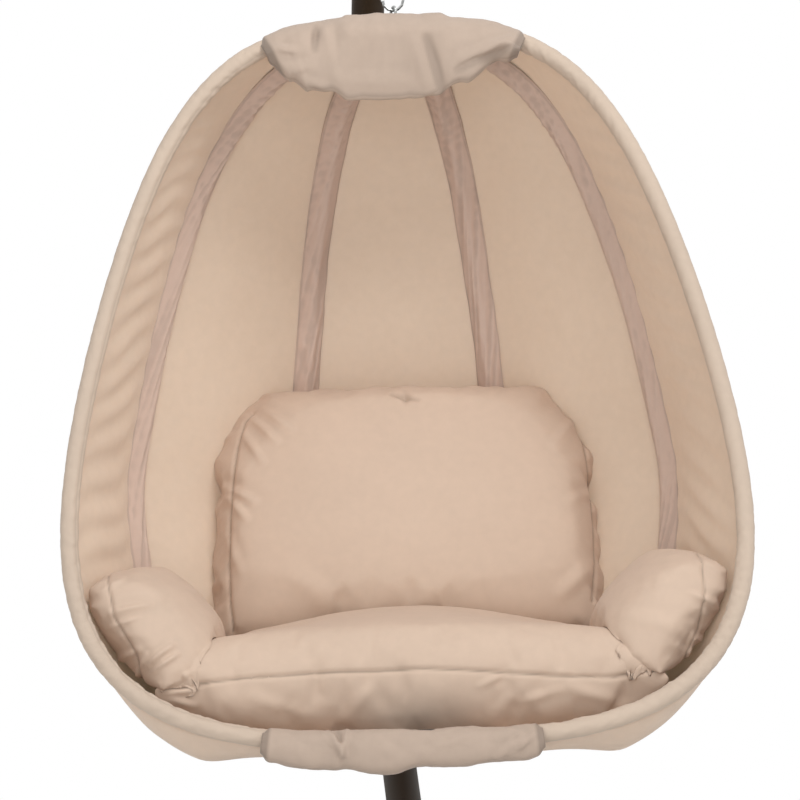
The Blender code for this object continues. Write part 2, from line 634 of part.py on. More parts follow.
def bow_heights():
    """Heights of the stations that all bows share: two in each hub, the rest evenly along the rim."""
    fine = [-SHELL_LENGTH / 2 * (1 - math.cos(math.pi * i / 720)) for i in range(721)]
    width = [half_width(h) for h in fine]
    run = [0.0]
    for i in range(1, len(fine)):
        run.append(run[-1] + math.hypot(width[i] - width[i - 1], fine[i] - fine[i - 1]))

    def height_at(radius, bottom):
        half = len(fine) // 2
        part = slice(None, half) if not bottom else slice(len(fine) - 1, half, -1)
        stop = int(numpy.argmax(width[part]))
        return float(numpy.interp(radius, width[part][:stop + 1], fine[part][:stop + 1]))

    ends = [height_at(SOCKET_INNER_RADIUS, False), height_at(SOCKET_INNER_RADIUS, True)]
    start, stop = height_at(SLEEVE_START_RADIUS, False), height_at(SLEEVE_START_RADIUS, True)
    first = float(numpy.interp(-start, -numpy.array(fine), run))
    last = float(numpy.interp(-stop, -numpy.array(fine), run))
    even = [first + (last - first) * i / BOW_STEPS for i in range(BOW_STEPS + 1)]
    middle = [float(numpy.interp(at, run, fine)) for at in even]
    return [ends[0]] + middle + [ends[1]]


BOW_HEIGHTS = bow_heights()


def spread(angle, height):
    """A bow's reach at a height as a share of the rim's."""
    if abs(angle) == 90:
        return 1.0
    t = max(0.0, (-height / SHELL_LENGTH - RIB_TUCK_START) / (1 - RIB_TUCK_START))
    return RIB_SPREAD - RIB_TUCK * math.cos(math.radians(angle)) * math.sin(math.pi * t) ** 2


def bow_direction(angle):
    return Vector((math.sin(math.radians(angle)), math.cos(math.radians(angle)), 0))


def bow_path(angle):
    out = bow_direction(angle)
    return [out * (spread(angle, h) * half_width(h)) + Z * h for h in BOW_HEIGHTS]


def bow_normal(angle):
    return bow_direction(angle).cross(Z)


BOW_NAMES = ("rim_tube_left", "rib_outer_left", "rib_inner_left",
             "rib_inner_right", "rib_outer_right", "rim_tube_right")


def build_bows(chair):
    for name, angle in zip(BOW_NAMES, RIB_ANGLES):
        bm = pipe(bmesh.new(), bow_path(angle), bow_normal(angle), BOW_TUBE, BOW_WALL, BOW_SIDES)
        add_object(name, bm, chair, COATED_STEEL)


def build_hub(chair, name, bottom):
    """A half-round hub with a socket for each bow; the top one has a recess for the chair's eye."""
    centre = Z * (-SHELL_LENGTH if bottom else 0.0)
    high, low, radius = HUB_HALF_HEIGHT, -HUB_HALF_HEIGHT, HUB_RADIUS
    if bottom:
        outline = [(0, high), (radius, high), (radius, low), (0, low)]
    else:
        floor, recess = high - HUB_RECESS_DEPTH, HUB_RECESS_RADIUS
        outline = [(recess, high), (radius, high), (radius, low),
                   (HOLE / 2, low), (HOLE / 2, floor), (recess, floor)]
    bm = turned(bmesh.new(), outline, 24, Matrix.Translation(centre))
    hub = add_object(name, bm, chair, BLACK_PLASTIC)
    front = box(bmesh.new(), centre - Vector((2 * radius, 2 * radius, 2 * high)),
                centre + Vector((2 * radius, -HUB_FRONT, 2 * high)))
    boolean(hub, add_object(f"{name}_front", front, chair))
    for angle in RIB_ANGLES:
        path = bow_path(angle)
        path = path[:-4:-1] if bottom else path[:3]
        path[0] = path[0] - bow_direction(angle) * GAP
        normal = -bow_normal(angle) if bottom else bow_normal(angle)
        socket = rod(bmesh.new(), path, normal, BOW_TUBE + 2 * GAP, BOW_SIDES)
        boolean(hub, add_object(f"{name}_socket", socket, chair))


def build_hub_eye(chair):
    """The eye bolt through the top hub that the snap hook holds, and its nut."""
    seat = HUB_HALF_HEIGHT - HUB_RECESS_DEPTH + GAP
    low = -HUB_HALF_HEIGHT - GAP - NUT_HEIGHT
    outline = [(0, seat + EYE_FLANGE), (HUB_EYE_WIRE, seat + EYE_FLANGE), (HUB_EYE_WIRE, seat),
               (BOLT_DIAMETER / 2, seat), (BOLT_DIAMETER / 2, low - GAP), (0, low - GAP)]
    eye = add_object("hub_eye_bolt", turned(bmesh.new(), outline, 10), chair, ZINC)
    across = Matrix.Rotation(math.radians(HUB_EYE_TWIST), 3, "Z") @ Y
    loop = ring_of_wire(bmesh.new(), LOOP_HEIGHT + HUB_EYE_RADIUS, HUB_EYE_RADIUS, HUB_EYE_WIRE,
                        across, across.cross(Z))
    boolean(eye, add_object("hub_eye_loop", loop, chair), "UNION")
    add_nut("hub_eye_nut", chair, Z * (-HUB_HALF_HEIGHT - GAP))


# Fabric shell and sleeves

CREST = BOW_TUBE / 2 + GAP                                      # inner face of a strip over its rib
RIDGE = CREST / math.cos(math.radians(PANEL_DROP))              # shell outside a rib's centre line
STRIP_CREST = CREST * 1.03                                      # a strip stands a little off its rib
SLEEVE_STATIONS = slice(1, -1)


def build_rim_sleeves(chair):
    for name, angle in (("rim_sleeve_left", -90.0), ("rim_sleeve_right", 90.0)):
        path = bow_path(angle)[SLEEVE_STATIONS]
        wall = (RIM_SLEEVE - BOW_TUBE) / 2 - GAP
        bm = pipe(bmesh.new(), path, bow_normal(angle), RIM_SLEEVE, wall, BOW_SIDES)
        add_object(name, bm, chair, FABRIC)


def strip_profile():
    """Hat section of a rib's strip, as (outward, sideways): a channel over the tube and two flanges."""
    flange = RIDGE - RIB_SLEEVE_HALF * math.tan(math.radians(STRIP_DROP)) - GAP
    side, crown = CREST * 1.08, CREST * 0.56
    inner = [(flange, RIB_SLEEVE_HALF), (-CLOTH / 2, side), (-STRIP_CREST, crown)]
    outer = [(flange - CLOTH, RIB_SLEEVE_HALF + CLOTH), (-CLOTH * 2, side + CLOTH),
             (-STRIP_CREST - CLOTH, crown + CLOTH)]
    mirror = [(a, -b) for a, b in inner[::-1]]
    return inner + mirror + [(a, -b) for a, b in outer] + outer[::-1]


def build_rib_sleeves(chair):
    strips = []
    for name, angle in zip(BOW_NAMES, RIB_ANGLES):
        if abs(angle) == 90:
            continue
        path = bow_path(angle)[SLEEVE_STATIONS]
        bm = skin(bmesh.new(), sweep(path, bow_normal(angle), strip_profile()))
        strips.append(add_object(name.replace("rib", "rib_sleeve"), bm, chair, FABRIC_DARK))
    return strips


def shell_columns():
    """Rows of points down the shell: one over each rib, flat panels between, edges on the rim sleeves."""
    wrap = math.radians(SHELL_WRAP)
    hold = RIM_SLEEVE / 2 + GAP
    ridges = []
    for angle in RIB_ANGLES:
        frames = path_frames(bow_path(angle), bow_normal(angle))[SLEEVE_STATIONS]
        if abs(angle) == 90:
            ridge = [p + side * hold * math.cos(wrap) + Y * hold * math.sin(wrap) for p, side in frames]
        else:
            ridge = [p + side * RIDGE for p, side in frames]
        ridges.append(ridge)
    columns = []
    for first, second in zip(ridges, ridges[1:]):
        for i in range(PANEL_COLUMNS):
            share = i / PANEL_COLUMNS
            columns.append([a.lerp(b, share) for a, b in zip(first, second)])
    return columns + [ridges[-1]]


def build_shell(chair):
    """The sewn shell, one sheet of cloth outside the ribs, thickened outwards."""
    bm = bmesh.new()
    columns = [[bm.verts.new(p) for p in column] for column in shell_columns()]
    for first, second in zip(columns, columns[1:]):
        for i in range(len(first) - 1):
            bm.faces.new((first[i], second[i], second[i + 1], first[i + 1]))
    middle = Vector((0, 0, -SHELL_LENGTH / 2))
    bm.normal_update()
    face = bm.faces[:][len(bm.faces) // 2]
    if face.normal.dot(face.calc_center_median() - middle) < 0:
        bmesh.ops.reverse_faces(bm, faces=bm.faces[:])
    mesh = bpy.data.meshes.new("shell_fabric")
    bm.to_mesh(mesh)
    bm.free()
    shell = add_copy("shell_fabric", mesh, chair, FABRIC)
    solid = shell.modifiers.new("cloth", "SOLIDIFY")
    solid.thickness = CLOTH
    solid.offset = 1.0
    solid.use_even_offset = True


# Pads on the rim

def rim_frame(across, bottom):
    """Point on the rim's straight facets at a distance across, with its outward vector."""
    path = bow_path(90.0)
    half = len(path) // 2
    part = path[:half] if not bottom else path[:half - 1:-1]
    part = [Vector((0, 0, part[0].z))] + part
    widths = [p.x for p in part]
    at = abs(across)
    index = max(i for i, w in enumerate(widths[:-1]) if w <= at)
    a, b = part[index], part[index + 1]
    point = a.lerp(b, (at - a.x) / (b.x - a.x))
    along = (b - a).normalized()
    outward = Vector((-along.z, 0, along.x)) * (-1 if bottom else 1)
    point.x *= math.copysign(1, across)
    outward.x *= math.copysign(1, across)
    return point, outward


def pad_rings(section, width, bottom, end_scale, stations=10):
    """Rings of a (back, outward) section carried along the rim, drawn in towards both ends."""
    rings = []
    hold = Vector((-RIM_SLEEVE / 2, 0))
    for i in range(stations + 1):
        across = width * (i / stations - 0.5)
        point, outward = rim_frame(across, bottom)
        ease = 1 - (1 - end_scale) * abs(2 * i / stations - 1) ** 4
        ring = []
        for back, out in section:
            near = Vector((back, out)) - hold
            back, out = hold + near * (ease if out < 0 or back < hold.x else 1.0)
            ring.append(point + Y * back + outward * out)
        rings.append(ring)
    return rings


def build_head_pad(chair):
    """A bolster folded over the top of the rim; its lower roll hangs in front of the hub."""
    face = HUB_FRONT + GAP
    section = [(-face, -0.020), (-face, 0.018), (-0.021, 0.021), (-0.028, 0.013), (-0.038, -0.012),
               (-0.045, -0.045), (-0.044, -0.080), (-0.033, -0.110), (-0.016, -0.122), (-0.002, -0.111),
               (0.001, -0.078), (-0.010, -0.040)]
    bm = skin(bmesh.new(), pad_rings(section, HEAD_PAD_WIDTH, False, 0.78))
    add_object("head_pad", bm, chair, FABRIC)


def build_front_pad(chair):
    """A thinner pad wrapped under the front of the rim."""
    rest = HUB_HALF_HEIGHT + PAD_EASE
    face = HUB_FRONT + GAP
    section = [(-0.004, -rest), (-face, -rest), (-face, rest), (0.038, rest), (0.042, rest + 0.005),
               (0.026, 0.032), (0.004, 0.040), (-0.018, 0.037), (-0.030, 0.020), (-0.032, -0.003),
               (-0.026, -0.017), (-0.014, -rest - 0.005), (-0.005, -rest - 0.004)]
    bm = skin(bmesh.new(), pad_rings(section, FRONT_PAD_WIDTH, True, 0.85))
    add_object("front_pad", bm, chair, FABRIC)


# Cushions: a block divided into squares, crowned, drawn in between its corners and pressed into place

def inner_profile(angle):
    """Heights and radii just inside a bow's strip or sleeve, from the bottom up."""
    frames = path_frames(bow_path(angle), bow_normal(angle))[SLEEVE_STATIONS]
    inset = RIM_SLEEVE / 2 + GAP if abs(angle) == 90 else STRIP_CREST + CLOTH + GAP
    points = [p - side * inset for p, side in frames][::-1]
    return [p.z for p in points], [math.hypot(p.x, p.y) for p in points]


ROOM = [inner_profile(angle) for angle in RIB_ANGLES]
ROOM_FLOOR = -SHELL_LENGTH + HUB_HALF_HEIGHT + GAP


def has_room(point):
    """Whether a point lies inside the flat panels that span from bow to bow."""
    if point.z < ROOM_FLOOR:
        return False
    angle = max(-89.9, min(89.9, math.degrees(math.atan2(point.x, point.y))))
    i = max(k for k, low in enumerate(RIB_ANGLES) if low <= angle)
    low, high = RIB_ANGLES[i], RIB_ANGLES[i + 1]
    a, b = [float(numpy.interp(point.z, heights, radii)) for heights, radii in ROOM[i:i + 2]]
    across = a * math.sin(math.radians(angle - low)) + b * math.sin(math.radians(high - angle))
    return math.hypot(point.x, point.y) * across <= a * b * math.sin(math.radians(high - low))


def press(point, centre):
    """Draw a point that has no room back towards its cushion's middle until it has."""
    if has_room(point):
        return point
    inside, outside = 0.0, 1.0
    for halving in range(24):
        middle = (inside + outside) / 2
        if has_room(centre.lerp(point, middle)):
            inside = middle
        else:
            outside = middle
    return centre.lerp(point, inside)


def flatten(bm, plane):
    """Cut a cushion off flat, one gap from the plane on the side that its normal points to."""
    origin, normal = plane
    geom = bm.verts[:] + bm.edges[:] + bm.faces[:]
    bmesh.ops.bisect_plane(bm, geom=geom, dist=GAP / 10, plane_co=origin + normal * GAP, plane_no=normal,
                           clear_inner=True)
    rim = [edge for edge in bm.edges if edge.is_boundary]
    if rim:
        bmesh.ops.edgeloop_fill(bm, edges=rim)
    bmesh.ops.remove_doubles(bm, verts=bm.verts, dist=2 * GAP)


def cushion(size, band, crowns, roundness, cuts):
    """A divided block, mapped to a boxed pillow of a size across and along."""
    bm = bmesh.new()
    bmesh.ops.create_cube(bm, size=2)
    bmesh.ops.subdivide_edges(bm, edges=bm.edges[:], cuts=cuts, use_grid_fill=True)
    for vert in bm.verts:
        p, q, s = vert.co
        crown = math.sqrt(max(0.0, (1 - p * p) * (1 - q * q)))
        bulge = 1 + 0.04 * (1 - s * s)
        x = p * math.sqrt(1 - roundness * q * q / 2) * (1 - CUSHION_DRAW_IN * (1 - q * q) * abs(p))
        y = q * math.sqrt(1 - roundness * p * p / 2) * (1 - CUSHION_DRAW_IN * (1 - p * p) * abs(q))
        z = s * band / 2 + s * crown * (crowns[0] if s > 0 else crowns[1])
        vert.co = (x * bulge * size[0] / 2, y * bulge * size[1] / 2, z)
    return bm


def points_along(mesh):
    """Points along every edge of a mesh."""
    for edge in mesh.edges:
        start, end = [mesh.vertices[i].co for i in edge.vertices]
        for share in (0.0, 0.125, 0.25, 0.375, 0.5, 0.625, 0.75, 0.875):
            yield start.lerp(end, share)


def surface(mesh):
    return BVHTree.FromPolygons([vert.co for vert in mesh.vertices], [tuple(face.vertices) for face in mesh.polygons])


def settle(pillow, direction, strips):
    """Lift a cushion clear, then slide it back until it lies one gap from the first strip that carries it."""
    pillow.data.transform(Matrix.Translation(direction * -CUSHION_LIFT))
    cover = surface(pillow.data)
    travel = []
    for strip in strips:
        carrier = surface(strip.data)
        hits = [carrier.ray_cast(point, direction)[3] for point in points_along(pillow.data)]
        hits += [cover.ray_cast(point, -direction)[3] for point in points_along(strip.data)]
        travel += [distance for distance in hits if distance is not None]
    pillow.data.transform(Matrix.Translation(direction * (min(travel) - GAP)))


def turned_over(plane):
    return plane[0], -plane[1]


def mirrored(plane):
    flip = Vector((-1, 1, 1))
    return plane[0] * flip, plane[1] * flip


def build_cushions(chair, strips):
    """Seat, back and two arm pillows; where two of them meet both are flat on one plane."""
    level = Matrix.Rotation(LEAN, 4, "X")
    upright = level @ Matrix.Rotation(math.radians(BACK_TILT), 4, "X")
    behind_rim = (Vector((0, CUSHION_FRONT, 0)), Y)
    arm_planes = {"right": SEAT_ARM_PLANE, "left": mirrored(SEAT_ARM_PLANE)}
    lay_out = [("seat_cushion", cushion(SEAT_SIZE, SEAT_BAND, SEAT_CROWN, 0.35, 8),
                Matrix.Translation(SEAT_CENTRE) @ level,
                [behind_rim, turned_over(SEAT_BACK_PLANE)] + [turned_over(p) for p in arm_planes.values()], -Z),
               ("back_cushion", cushion(BACK_SIZE, BACK_BAND, BACK_CROWN, 0.45, 7),
                Matrix.Translation(BACK_CENTRE) @ upright, [SEAT_BACK_PLANE], Y)]
    for side, sign in (("left", -1), ("right", 1)):
        centre = Vector((sign * ARM_CENTRE.x, ARM_CENTRE.y, ARM_CENTRE.z))
        lean = Matrix.Rotation(math.radians(-sign * ARM_LEAN), 4, "Y")
        lean = lean @ Matrix.Rotation(math.pi / 2, 4, "Z")
        lay_out.append((f"arm_pillow_{side}", cushion(ARM_SIZE, ARM_BAND, ARM_CROWN, 0.45, 6),
                        Matrix.Translation(centre) @ level @ lean, [behind_rim, arm_planes[side]],
                        arm_planes[side][1].cross(Y).normalized() * -sign))
    for name, bm, place, planes, rest in lay_out:
        for vert in bm.verts:
            vert.co = press(place @ vert.co, place.translation)
        for plane in planes:
            flatten(bm, plane)
        settle(add_object(name, bm, chair, FABRIC), rest, strips)


def build():
    clear_scene()
    stand = make_empty("stand_frame", turn=(0, 0, STAND_YAW))
    half_rings, couplers, crossbar, ring_space = build_base(stand)
    pole, pole_space, pole_joint = build_pole(stand)
    saddles = build_saddles(stand, pole_space, ring_space)
    build_fasteners(stand, half_rings, couplers, crossbar, pole, pole_joint, saddles)

    hook_line = make_empty("hook_line")
    build_arm_eye(hook_line, pole[1])
    swing = make_empty("swing_axis", location=Z * SWIVEL_TOP)
    swivel = make_empty("swivel_axis", swing, location=Z * (HOUSING_LOW - SWIVEL_TOP))
    sway = make_empty("sway_axis", swivel, location=Z * (LINK_1_TOP - HOUSING_LOW))
    rock = make_empty("rock_axis", sway, location=Z * (HOOK_LOW - LINK_1_TOP))
    chair = make_empty("chair_frame", rock, location=CHAIR_TOP - Z * HOOK_LOW, turn=(-CHAIR_LEAN, 0, 0))
    zero = [make_empty(f"{axis.name}_zero", axis) for axis in (swing, swivel, sway)]
    heights = (SWIVEL_TOP, HOUSING_LOW, LINK_1_TOP)
    for empty, height in zip(zero, heights):
        empty.location = Z * -height
    gate = make_empty("gate_axis", zero[2], location=(GATE_LINE, 0, GATE_LOW))
    build_swivel(zero[0], zero[1])
    build_chain(zero[2], gate)

    build_bows(chair)
    build_hub(chair, "top_hub", bottom=False)
    build_hub(chair, "bottom_hub", bottom=True)
    build_hub_eye(chair)
    build_rim_sleeves(chair)
    strips = build_rib_sleeves(chair)
    build_shell(chair)
    build_head_pad(chair)
    build_front_pad(chair)
    build_cushions(chair, strips)
    bpy.context.view_layer.update()


build()
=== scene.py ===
# %% [markdown]
# # A hanging lounge chair
# The solid model of the chair and its stand comes in first and stays fixed. Everything made here is fitted
# over it: smooth tubes, a stretched cloth shell, sewn strips, pads and stuffed cushions. Lengths are metres,
# Z is up, and the open side of the chair looks towards -Y.

# %% Load the fixed model
import json
import math

import bmesh
import bpy
from mathutils import Matrix, Vector, noise
from mathutils.bvhtree import BVHTree


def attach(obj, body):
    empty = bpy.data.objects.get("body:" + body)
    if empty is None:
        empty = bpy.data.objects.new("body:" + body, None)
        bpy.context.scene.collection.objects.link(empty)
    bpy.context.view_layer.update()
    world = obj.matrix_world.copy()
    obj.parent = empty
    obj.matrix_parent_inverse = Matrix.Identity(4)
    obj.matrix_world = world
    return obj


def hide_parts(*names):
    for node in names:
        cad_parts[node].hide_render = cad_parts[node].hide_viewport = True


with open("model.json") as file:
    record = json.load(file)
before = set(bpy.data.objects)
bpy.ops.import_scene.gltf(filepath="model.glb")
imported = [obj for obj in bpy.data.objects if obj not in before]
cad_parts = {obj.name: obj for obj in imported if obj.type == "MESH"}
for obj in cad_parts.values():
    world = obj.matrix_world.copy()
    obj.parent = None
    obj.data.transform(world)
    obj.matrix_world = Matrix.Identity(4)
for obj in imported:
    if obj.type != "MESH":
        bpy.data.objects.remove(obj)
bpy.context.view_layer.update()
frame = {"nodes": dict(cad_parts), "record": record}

X, Y, Z = Vector((1, 0, 0)), Vector((0, 1, 0)), Vector((0, 0, 1))

# %% [markdown]
# ## Camera
# The picture was taken from far off with a long lens, almost level, so the chair shows hardly any
# perspective. The camera is set by its own three axes rather than by angles, which keeps the small roll
# exact.

# %% Camera
CAMERA_PLACE = (-0.1020, -4.6654, 1.1451)
LENS, SENSOR = 126.2, 36.0
SHIFT_X, SHIFT_Y = -0.005, -0.01375
turn, tilt, roll = math.radians(-1.3), math.radians(2.55), math.radians(1.3)
right = Vector((math.cos(turn), math.sin(turn), 0))
ahead = Vector((-math.sin(turn) * math.cos(tilt), math.cos(turn) * math.cos(tilt), -math.sin(tilt)))
up = right.cross(ahead)
axes = (right * math.cos(roll) - up * math.sin(roll), right * math.sin(roll) + up * math.cos(roll), -ahead)
camera = bpy.data.objects.new("camera", bpy.data.cameras.new("camera"))
camera.matrix_world = Matrix.Translation(CAMERA_PLACE) @ Matrix(axes).transposed().to_4x4()
camera.data.lens = LENS
camera.data.sensor_width = SENSOR
camera.data.shift_x = SHIFT_X
camera.data.shift_y = SHIFT_Y
bpy.context.scene.collection.objects.link(camera)
bpy.context.scene.camera = camera
print("camera", [round(value, 3) for value in camera.location])

# %% [markdown]
# ## Shader sums
# Shader sums read best as sums. This small class wraps a node's output socket, so that `1 - mask` or
# `wave * 0.5` adds the Math node it needs. Every other node comes from one method, `node`.

# %% Sockets that can be added and multiplied, and a node maker
class Socket:
    def __init__(self, tree, socket):
        self.tree = tree
        self.socket = socket

    def combine(self, operation, first, second):
        return Nodes(self.tree).node("ShaderNodeMath", {"operation": operation}, {0: first, 1: second})

    def __add__(self, other):
        return self.combine("ADD", self, other)

    def __radd__(self, other):
        return self.combine("ADD", other, self)

    def __sub__(self, other):
        return self.combine("SUBTRACT", self, other)

    def __rsub__(self, other):
        return self.combine("SUBTRACT", other, self)

    def __mul__(self, other):
        return self.combine("MULTIPLY", self, other)

    def __rmul__(self, other):
        return self.combine("MULTIPLY", other, self)


class Nodes:
    def __init__(self, tree):
        self.tree = tree

    def node(self, kind, settings=(), values=(), output=0):
        made = self.tree.nodes.new(kind)
        for name, value in dict(settings).items():
            setattr(made, name, value)
        self.feed(made, values)
        return Socket(self.tree, made.outputs[output])

    def feed(self, made, values):
        for name, value in dict(values).items():
            if isinstance(value, Socket):
                self.tree.links.new(value.socket, made.inputs[name])
            else:
                made.inputs[name].default_value = value

    def mix(self, factor, first, second):
        return self.node("ShaderNodeMix", {"data_type": "RGBA"}, {0: factor, 6: first, 7: second}, output=2)

    def noise(self, place, scale, detail):
        return self.node("ShaderNodeTexNoise", (), {"Vector": place, "Scale": scale, "Detail": detail})


class Finish(Nodes):
    """A material under construction."""

    def __init__(self, name):
        self.material = bpy.data.materials.new(name)
        self.material.use_nodes = True
        super().__init__(self.material.node_tree)
        self.shader = self.tree.nodes["Principled BSDF"]

    def surface(self, values):
        self.feed(self.shader, values)
        return self.material


print("shader sums ready")

# %% [markdown]
# ## Floor, surround and light
# The backdrop is plain white. Only rays from the camera, a gloss or a glass see that white; the light that
# falls on the chair comes from soft lamps at a plain level. The floor stays a real surface near the stand,
# so that the stand keeps its shadow, and fades into the white further out.

# %% Floor
FLOOR_HALF, FADE_FROM, FADE_TO = 30, 0.70, 1.20
paint = Finish("pale_floor")
spot = paint.node("ShaderNodeTexCoord", output="Object")
far = paint.node("ShaderNodeVectorMath", {"operation": "LENGTH"}, {"Vector": spot}, output="Value")
fade = paint.node("ShaderNodeMapRange", {"interpolation_type": "SMOOTHSTEP"},
                  {"Value": far, "From Min": FADE_FROM, "From Max": FADE_TO})
seen = paint.node("ShaderNodeLightPath", output="Is Camera Ray")
grain = paint.noise(spot, 3.0, 2.0)
shade = paint.mix(grain, (0.86, 0.85, 0.84, 1), (0.90, 0.89, 0.88, 1))
paint.surface({"Base Color": shade, "Roughness": 0.8})
glow = paint.node("ShaderNodeEmission", (), {"Color": (1, 1, 1, 1), "Strength": 1.0})
plain = Socket(paint.tree, paint.shader.outputs[0])
mixed = paint.node("ShaderNodeMixShader", (), {0: fade * seen, 1: plain, 2: glow})
paint.feed(paint.tree.nodes["Material Output"], {"Surface": mixed})

bm = bmesh.new()
bmesh.ops.create_grid(bm, x_segments=1, y_segments=1, size=FLOOR_HALF)
mesh = bpy.data.meshes.new("floor")
bm.to_mesh(mesh)
bm.free()
mesh.materials.append(paint.material)
ground = bpy.data.objects.new("floor", mesh)
bpy.context.scene.collection.objects.link(ground)
print("floor", ground.name)

# %% Surround and lamps
SKY_LIGHT = 0.60
LAMPS = (("key", (1.1, -2.0, 4.0), (0, -0.1, 0.8), 1.9, 74),
         ("front", (-0.8, -4.4, 1.5), (0, 0, 0.95), 3.0, 46))
world = bpy.data.worlds.new("studio")
bpy.context.scene.world = world
world.use_nodes = True
sky = Nodes(world.node_tree)
shown = sky.node("ShaderNodeLightPath", output="Is Camera Ray")
for name in ("Is Glossy Ray", "Is Transmission Ray"):
    shown = shown.combine("MAXIMUM", shown, sky.node("ShaderNodeLightPath", output=name))
strength = shown * (1 - SKY_LIGHT) + SKY_LIGHT
sky.feed(world.node_tree.nodes["Background"], {"Color": (1, 1, 1, 1), "Strength": strength})

for name, place, aim, size, power in LAMPS:
    lamp = bpy.data.objects.new(name, bpy.data.lights.new(name, "AREA"))
    lamp.data.size = size
    lamp.data.energy = power
    lamp.location = place
    lamp.rotation_euler = (Vector(aim) - Vector(place)).to_track_quat("-Z", "Y").to_euler()
    bpy.context.scene.collection.objects.link(lamp)
bpy.context.scene.view_settings.view_transform = "Standard"
print("surround and two lamps")

# %% [markdown]
# ## Finishes
# The cover is a light polyester canvas with a faint weave. Its threads follow the cloth, so the pattern
# reads a UV map that is laid out in metres. Broad, weak patches of lighter and darker tone keep it from
# looking printed. A value on the mesh darkens the sewn lines and the tape, and it also carries painted
# shade in the creases of folds. The shell is a single layer against the light, so its finish lets some light
# through.

# %% Cloth
def srgb(red, green, blue):
    """A colour as read off a screen, in the linear values that shaders use."""
    return [((value / 255 + 0.055) / 1.055) ** 2.4 for value in (red, green, blue)]


def tone(colour, share):
    return [min(1.0, value * share) for value in colour] + [1]


THREAD = 0.0011
WAVE_TURNS = 0.314


def cloth_finish(name, colour, thin=0.0):
    finish = Finish(name)
    flat = finish.node("ShaderNodeUVMap", {"uv_map": "cloth"})
    solid = finish.node("ShaderNodeTexCoord", output="Object")
    waves = []
    for axis in ("X", "Y"):
        waves.append(finish.node("ShaderNodeTexWave", {"bands_direction": axis}, {
            "Vector": flat, "Scale": WAVE_TURNS / THREAD, "Distortion": 0.6, "Detail": 1.0}, output="Fac"))
    weave = waves[0] * waves[1]
    patch = finish.noise(solid, 5.0, 3.0)
    slub = finish.noise(solid, 60.0, 4.0)
    sewn = finish.node("ShaderNodeAttribute", {"attribute_name": "seam_and_crease_shade"}, output="Fac")
    mottle = patch * 0.65 + slub * 0.45 + weave * 0.25 - 0.15
    shade = finish.mix(mottle, tone(colour, 0.86), tone(colour, 1.07))
    # The mesh value darkens sewn lines and tape, and also paints shade into the creases of folds.
    shade = finish.mix(sewn * 0.75, shade, tone(colour, 0.40))
    relief = weave * 0.35 + slub * 0.35
    bump = finish.node("ShaderNodeBump", (), {"Height": relief, "Strength": 0.35, "Distance": 0.0012})
    return finish.surface({"Base Color": shade, "Roughness": patch * 0.1 + 0.82, "Normal": bump,
                           "Sheen Weight": 0.15, "Sheen Roughness": 0.45, "Subsurface Weight": thin,
                           "Subsurface Radius": (1.2, 1.0, 0.85), "Subsurface Scale": 0.010})


# The pads, the rim sleeves and the shell are the same canvas as the cushions. The pads and sleeves get a
# darker colour as painted shade, and the shell a lighter one as painted light.
CANVAS = cloth_finish("beige_canvas", srgb(209, 185, 165))
PAD_PAINTED_SHADE = cloth_finish("pad_canvas_painted_shade", srgb(186, 166, 150))
SLEEVE_PAINTED_SHADE = cloth_finish("sleeve_canvas_painted_shade", srgb(202, 183, 165))
SHELL_PAINTED_LIGHT = cloth_finish("shell_canvas_painted_light", srgb(223, 197, 176), thin=0.4)
STRIP = cloth_finish("rose_beige_strip", srgb(210, 186, 171))
print("cloth:", CANVAS.name, PAD_PAINTED_SHADE.name, SLEEVE_PAINTED_SHADE.name, SHELL_PAINTED_LIGHT.name, STRIP.name)

# %% [markdown]
# The stand is steel tube under a dark brown baked coat: a little orange-peel in the surface, and a soft
# gloss. The hardware is zinc plated, with the cloudy spangle that plating has. Caps, glides and hubs are
# moulded plastic with a fine grain.

# %% Coated steel, zinc and plastic
def coat_finish():
    finish = Finish("brown_coat")
    solid = finish.node("ShaderNodeTexCoord", output="Object")
    peel = finish.noise(solid, 420.0, 2.0)
    cloud = finish.noise(solid, 9.0, 3.0)
    colour = finish.mix(cloud, srgb(39, 27, 14) + [1], srgb(53, 40, 25) + [1])
    bump = finish.node("ShaderNodeBump", (), {"Height": peel, "Strength": 0.25, "Distance": 0.0006})
    return finish.surface({"Base Color": colour, "Roughness": cloud * 0.16 + 0.44, "Normal": bump,
                           "Specular IOR Level": 0.22})


def zinc_finish():
    finish = Finish("zinc_plate")
    solid = finish.node("ShaderNodeTexCoord", output="Object")
    spangle = finish.node("ShaderNodeTexVoronoi", (), {"Vector": solid, "Scale": 260.0}, output="Color")
    flake = finish.node("ShaderNodeSeparateColor", (), {"Color": spangle})
    scuff = finish.noise(solid, 700.0, 3.0)
    colour = finish.mix(flake * 0.6 + scuff * 0.3, srgb(148, 149, 148) + [1], srgb(205, 206, 204) + [1])
    bump = finish.node("ShaderNodeBump", (), {"Height": scuff, "Strength": 0.15, "Distance": 0.0003})
    return finish.surface({"Base Color": colour, "Roughness": scuff * 0.22 + 0.22, "Normal": bump,
                           "Metallic": 0.95})


def plastic_finish():
    finish = Finish("black_plastic")
    solid = finish.node("ShaderNodeTexCoord", output="Object")
    fine = finish.noise(solid, 900.0, 2.0)
    colour = finish.mix(fine, srgb(24, 24, 25) + [1], srgb(38, 38, 39) + [1])
    bump = finish.node("ShaderNodeBump", (), {"Height": fine, "Strength": 0.3, "Distance": 0.0003})
    return finish.surface({"Base Color": colour, "Roughness": fine * 0.15 + 0.5, "Normal": bump})


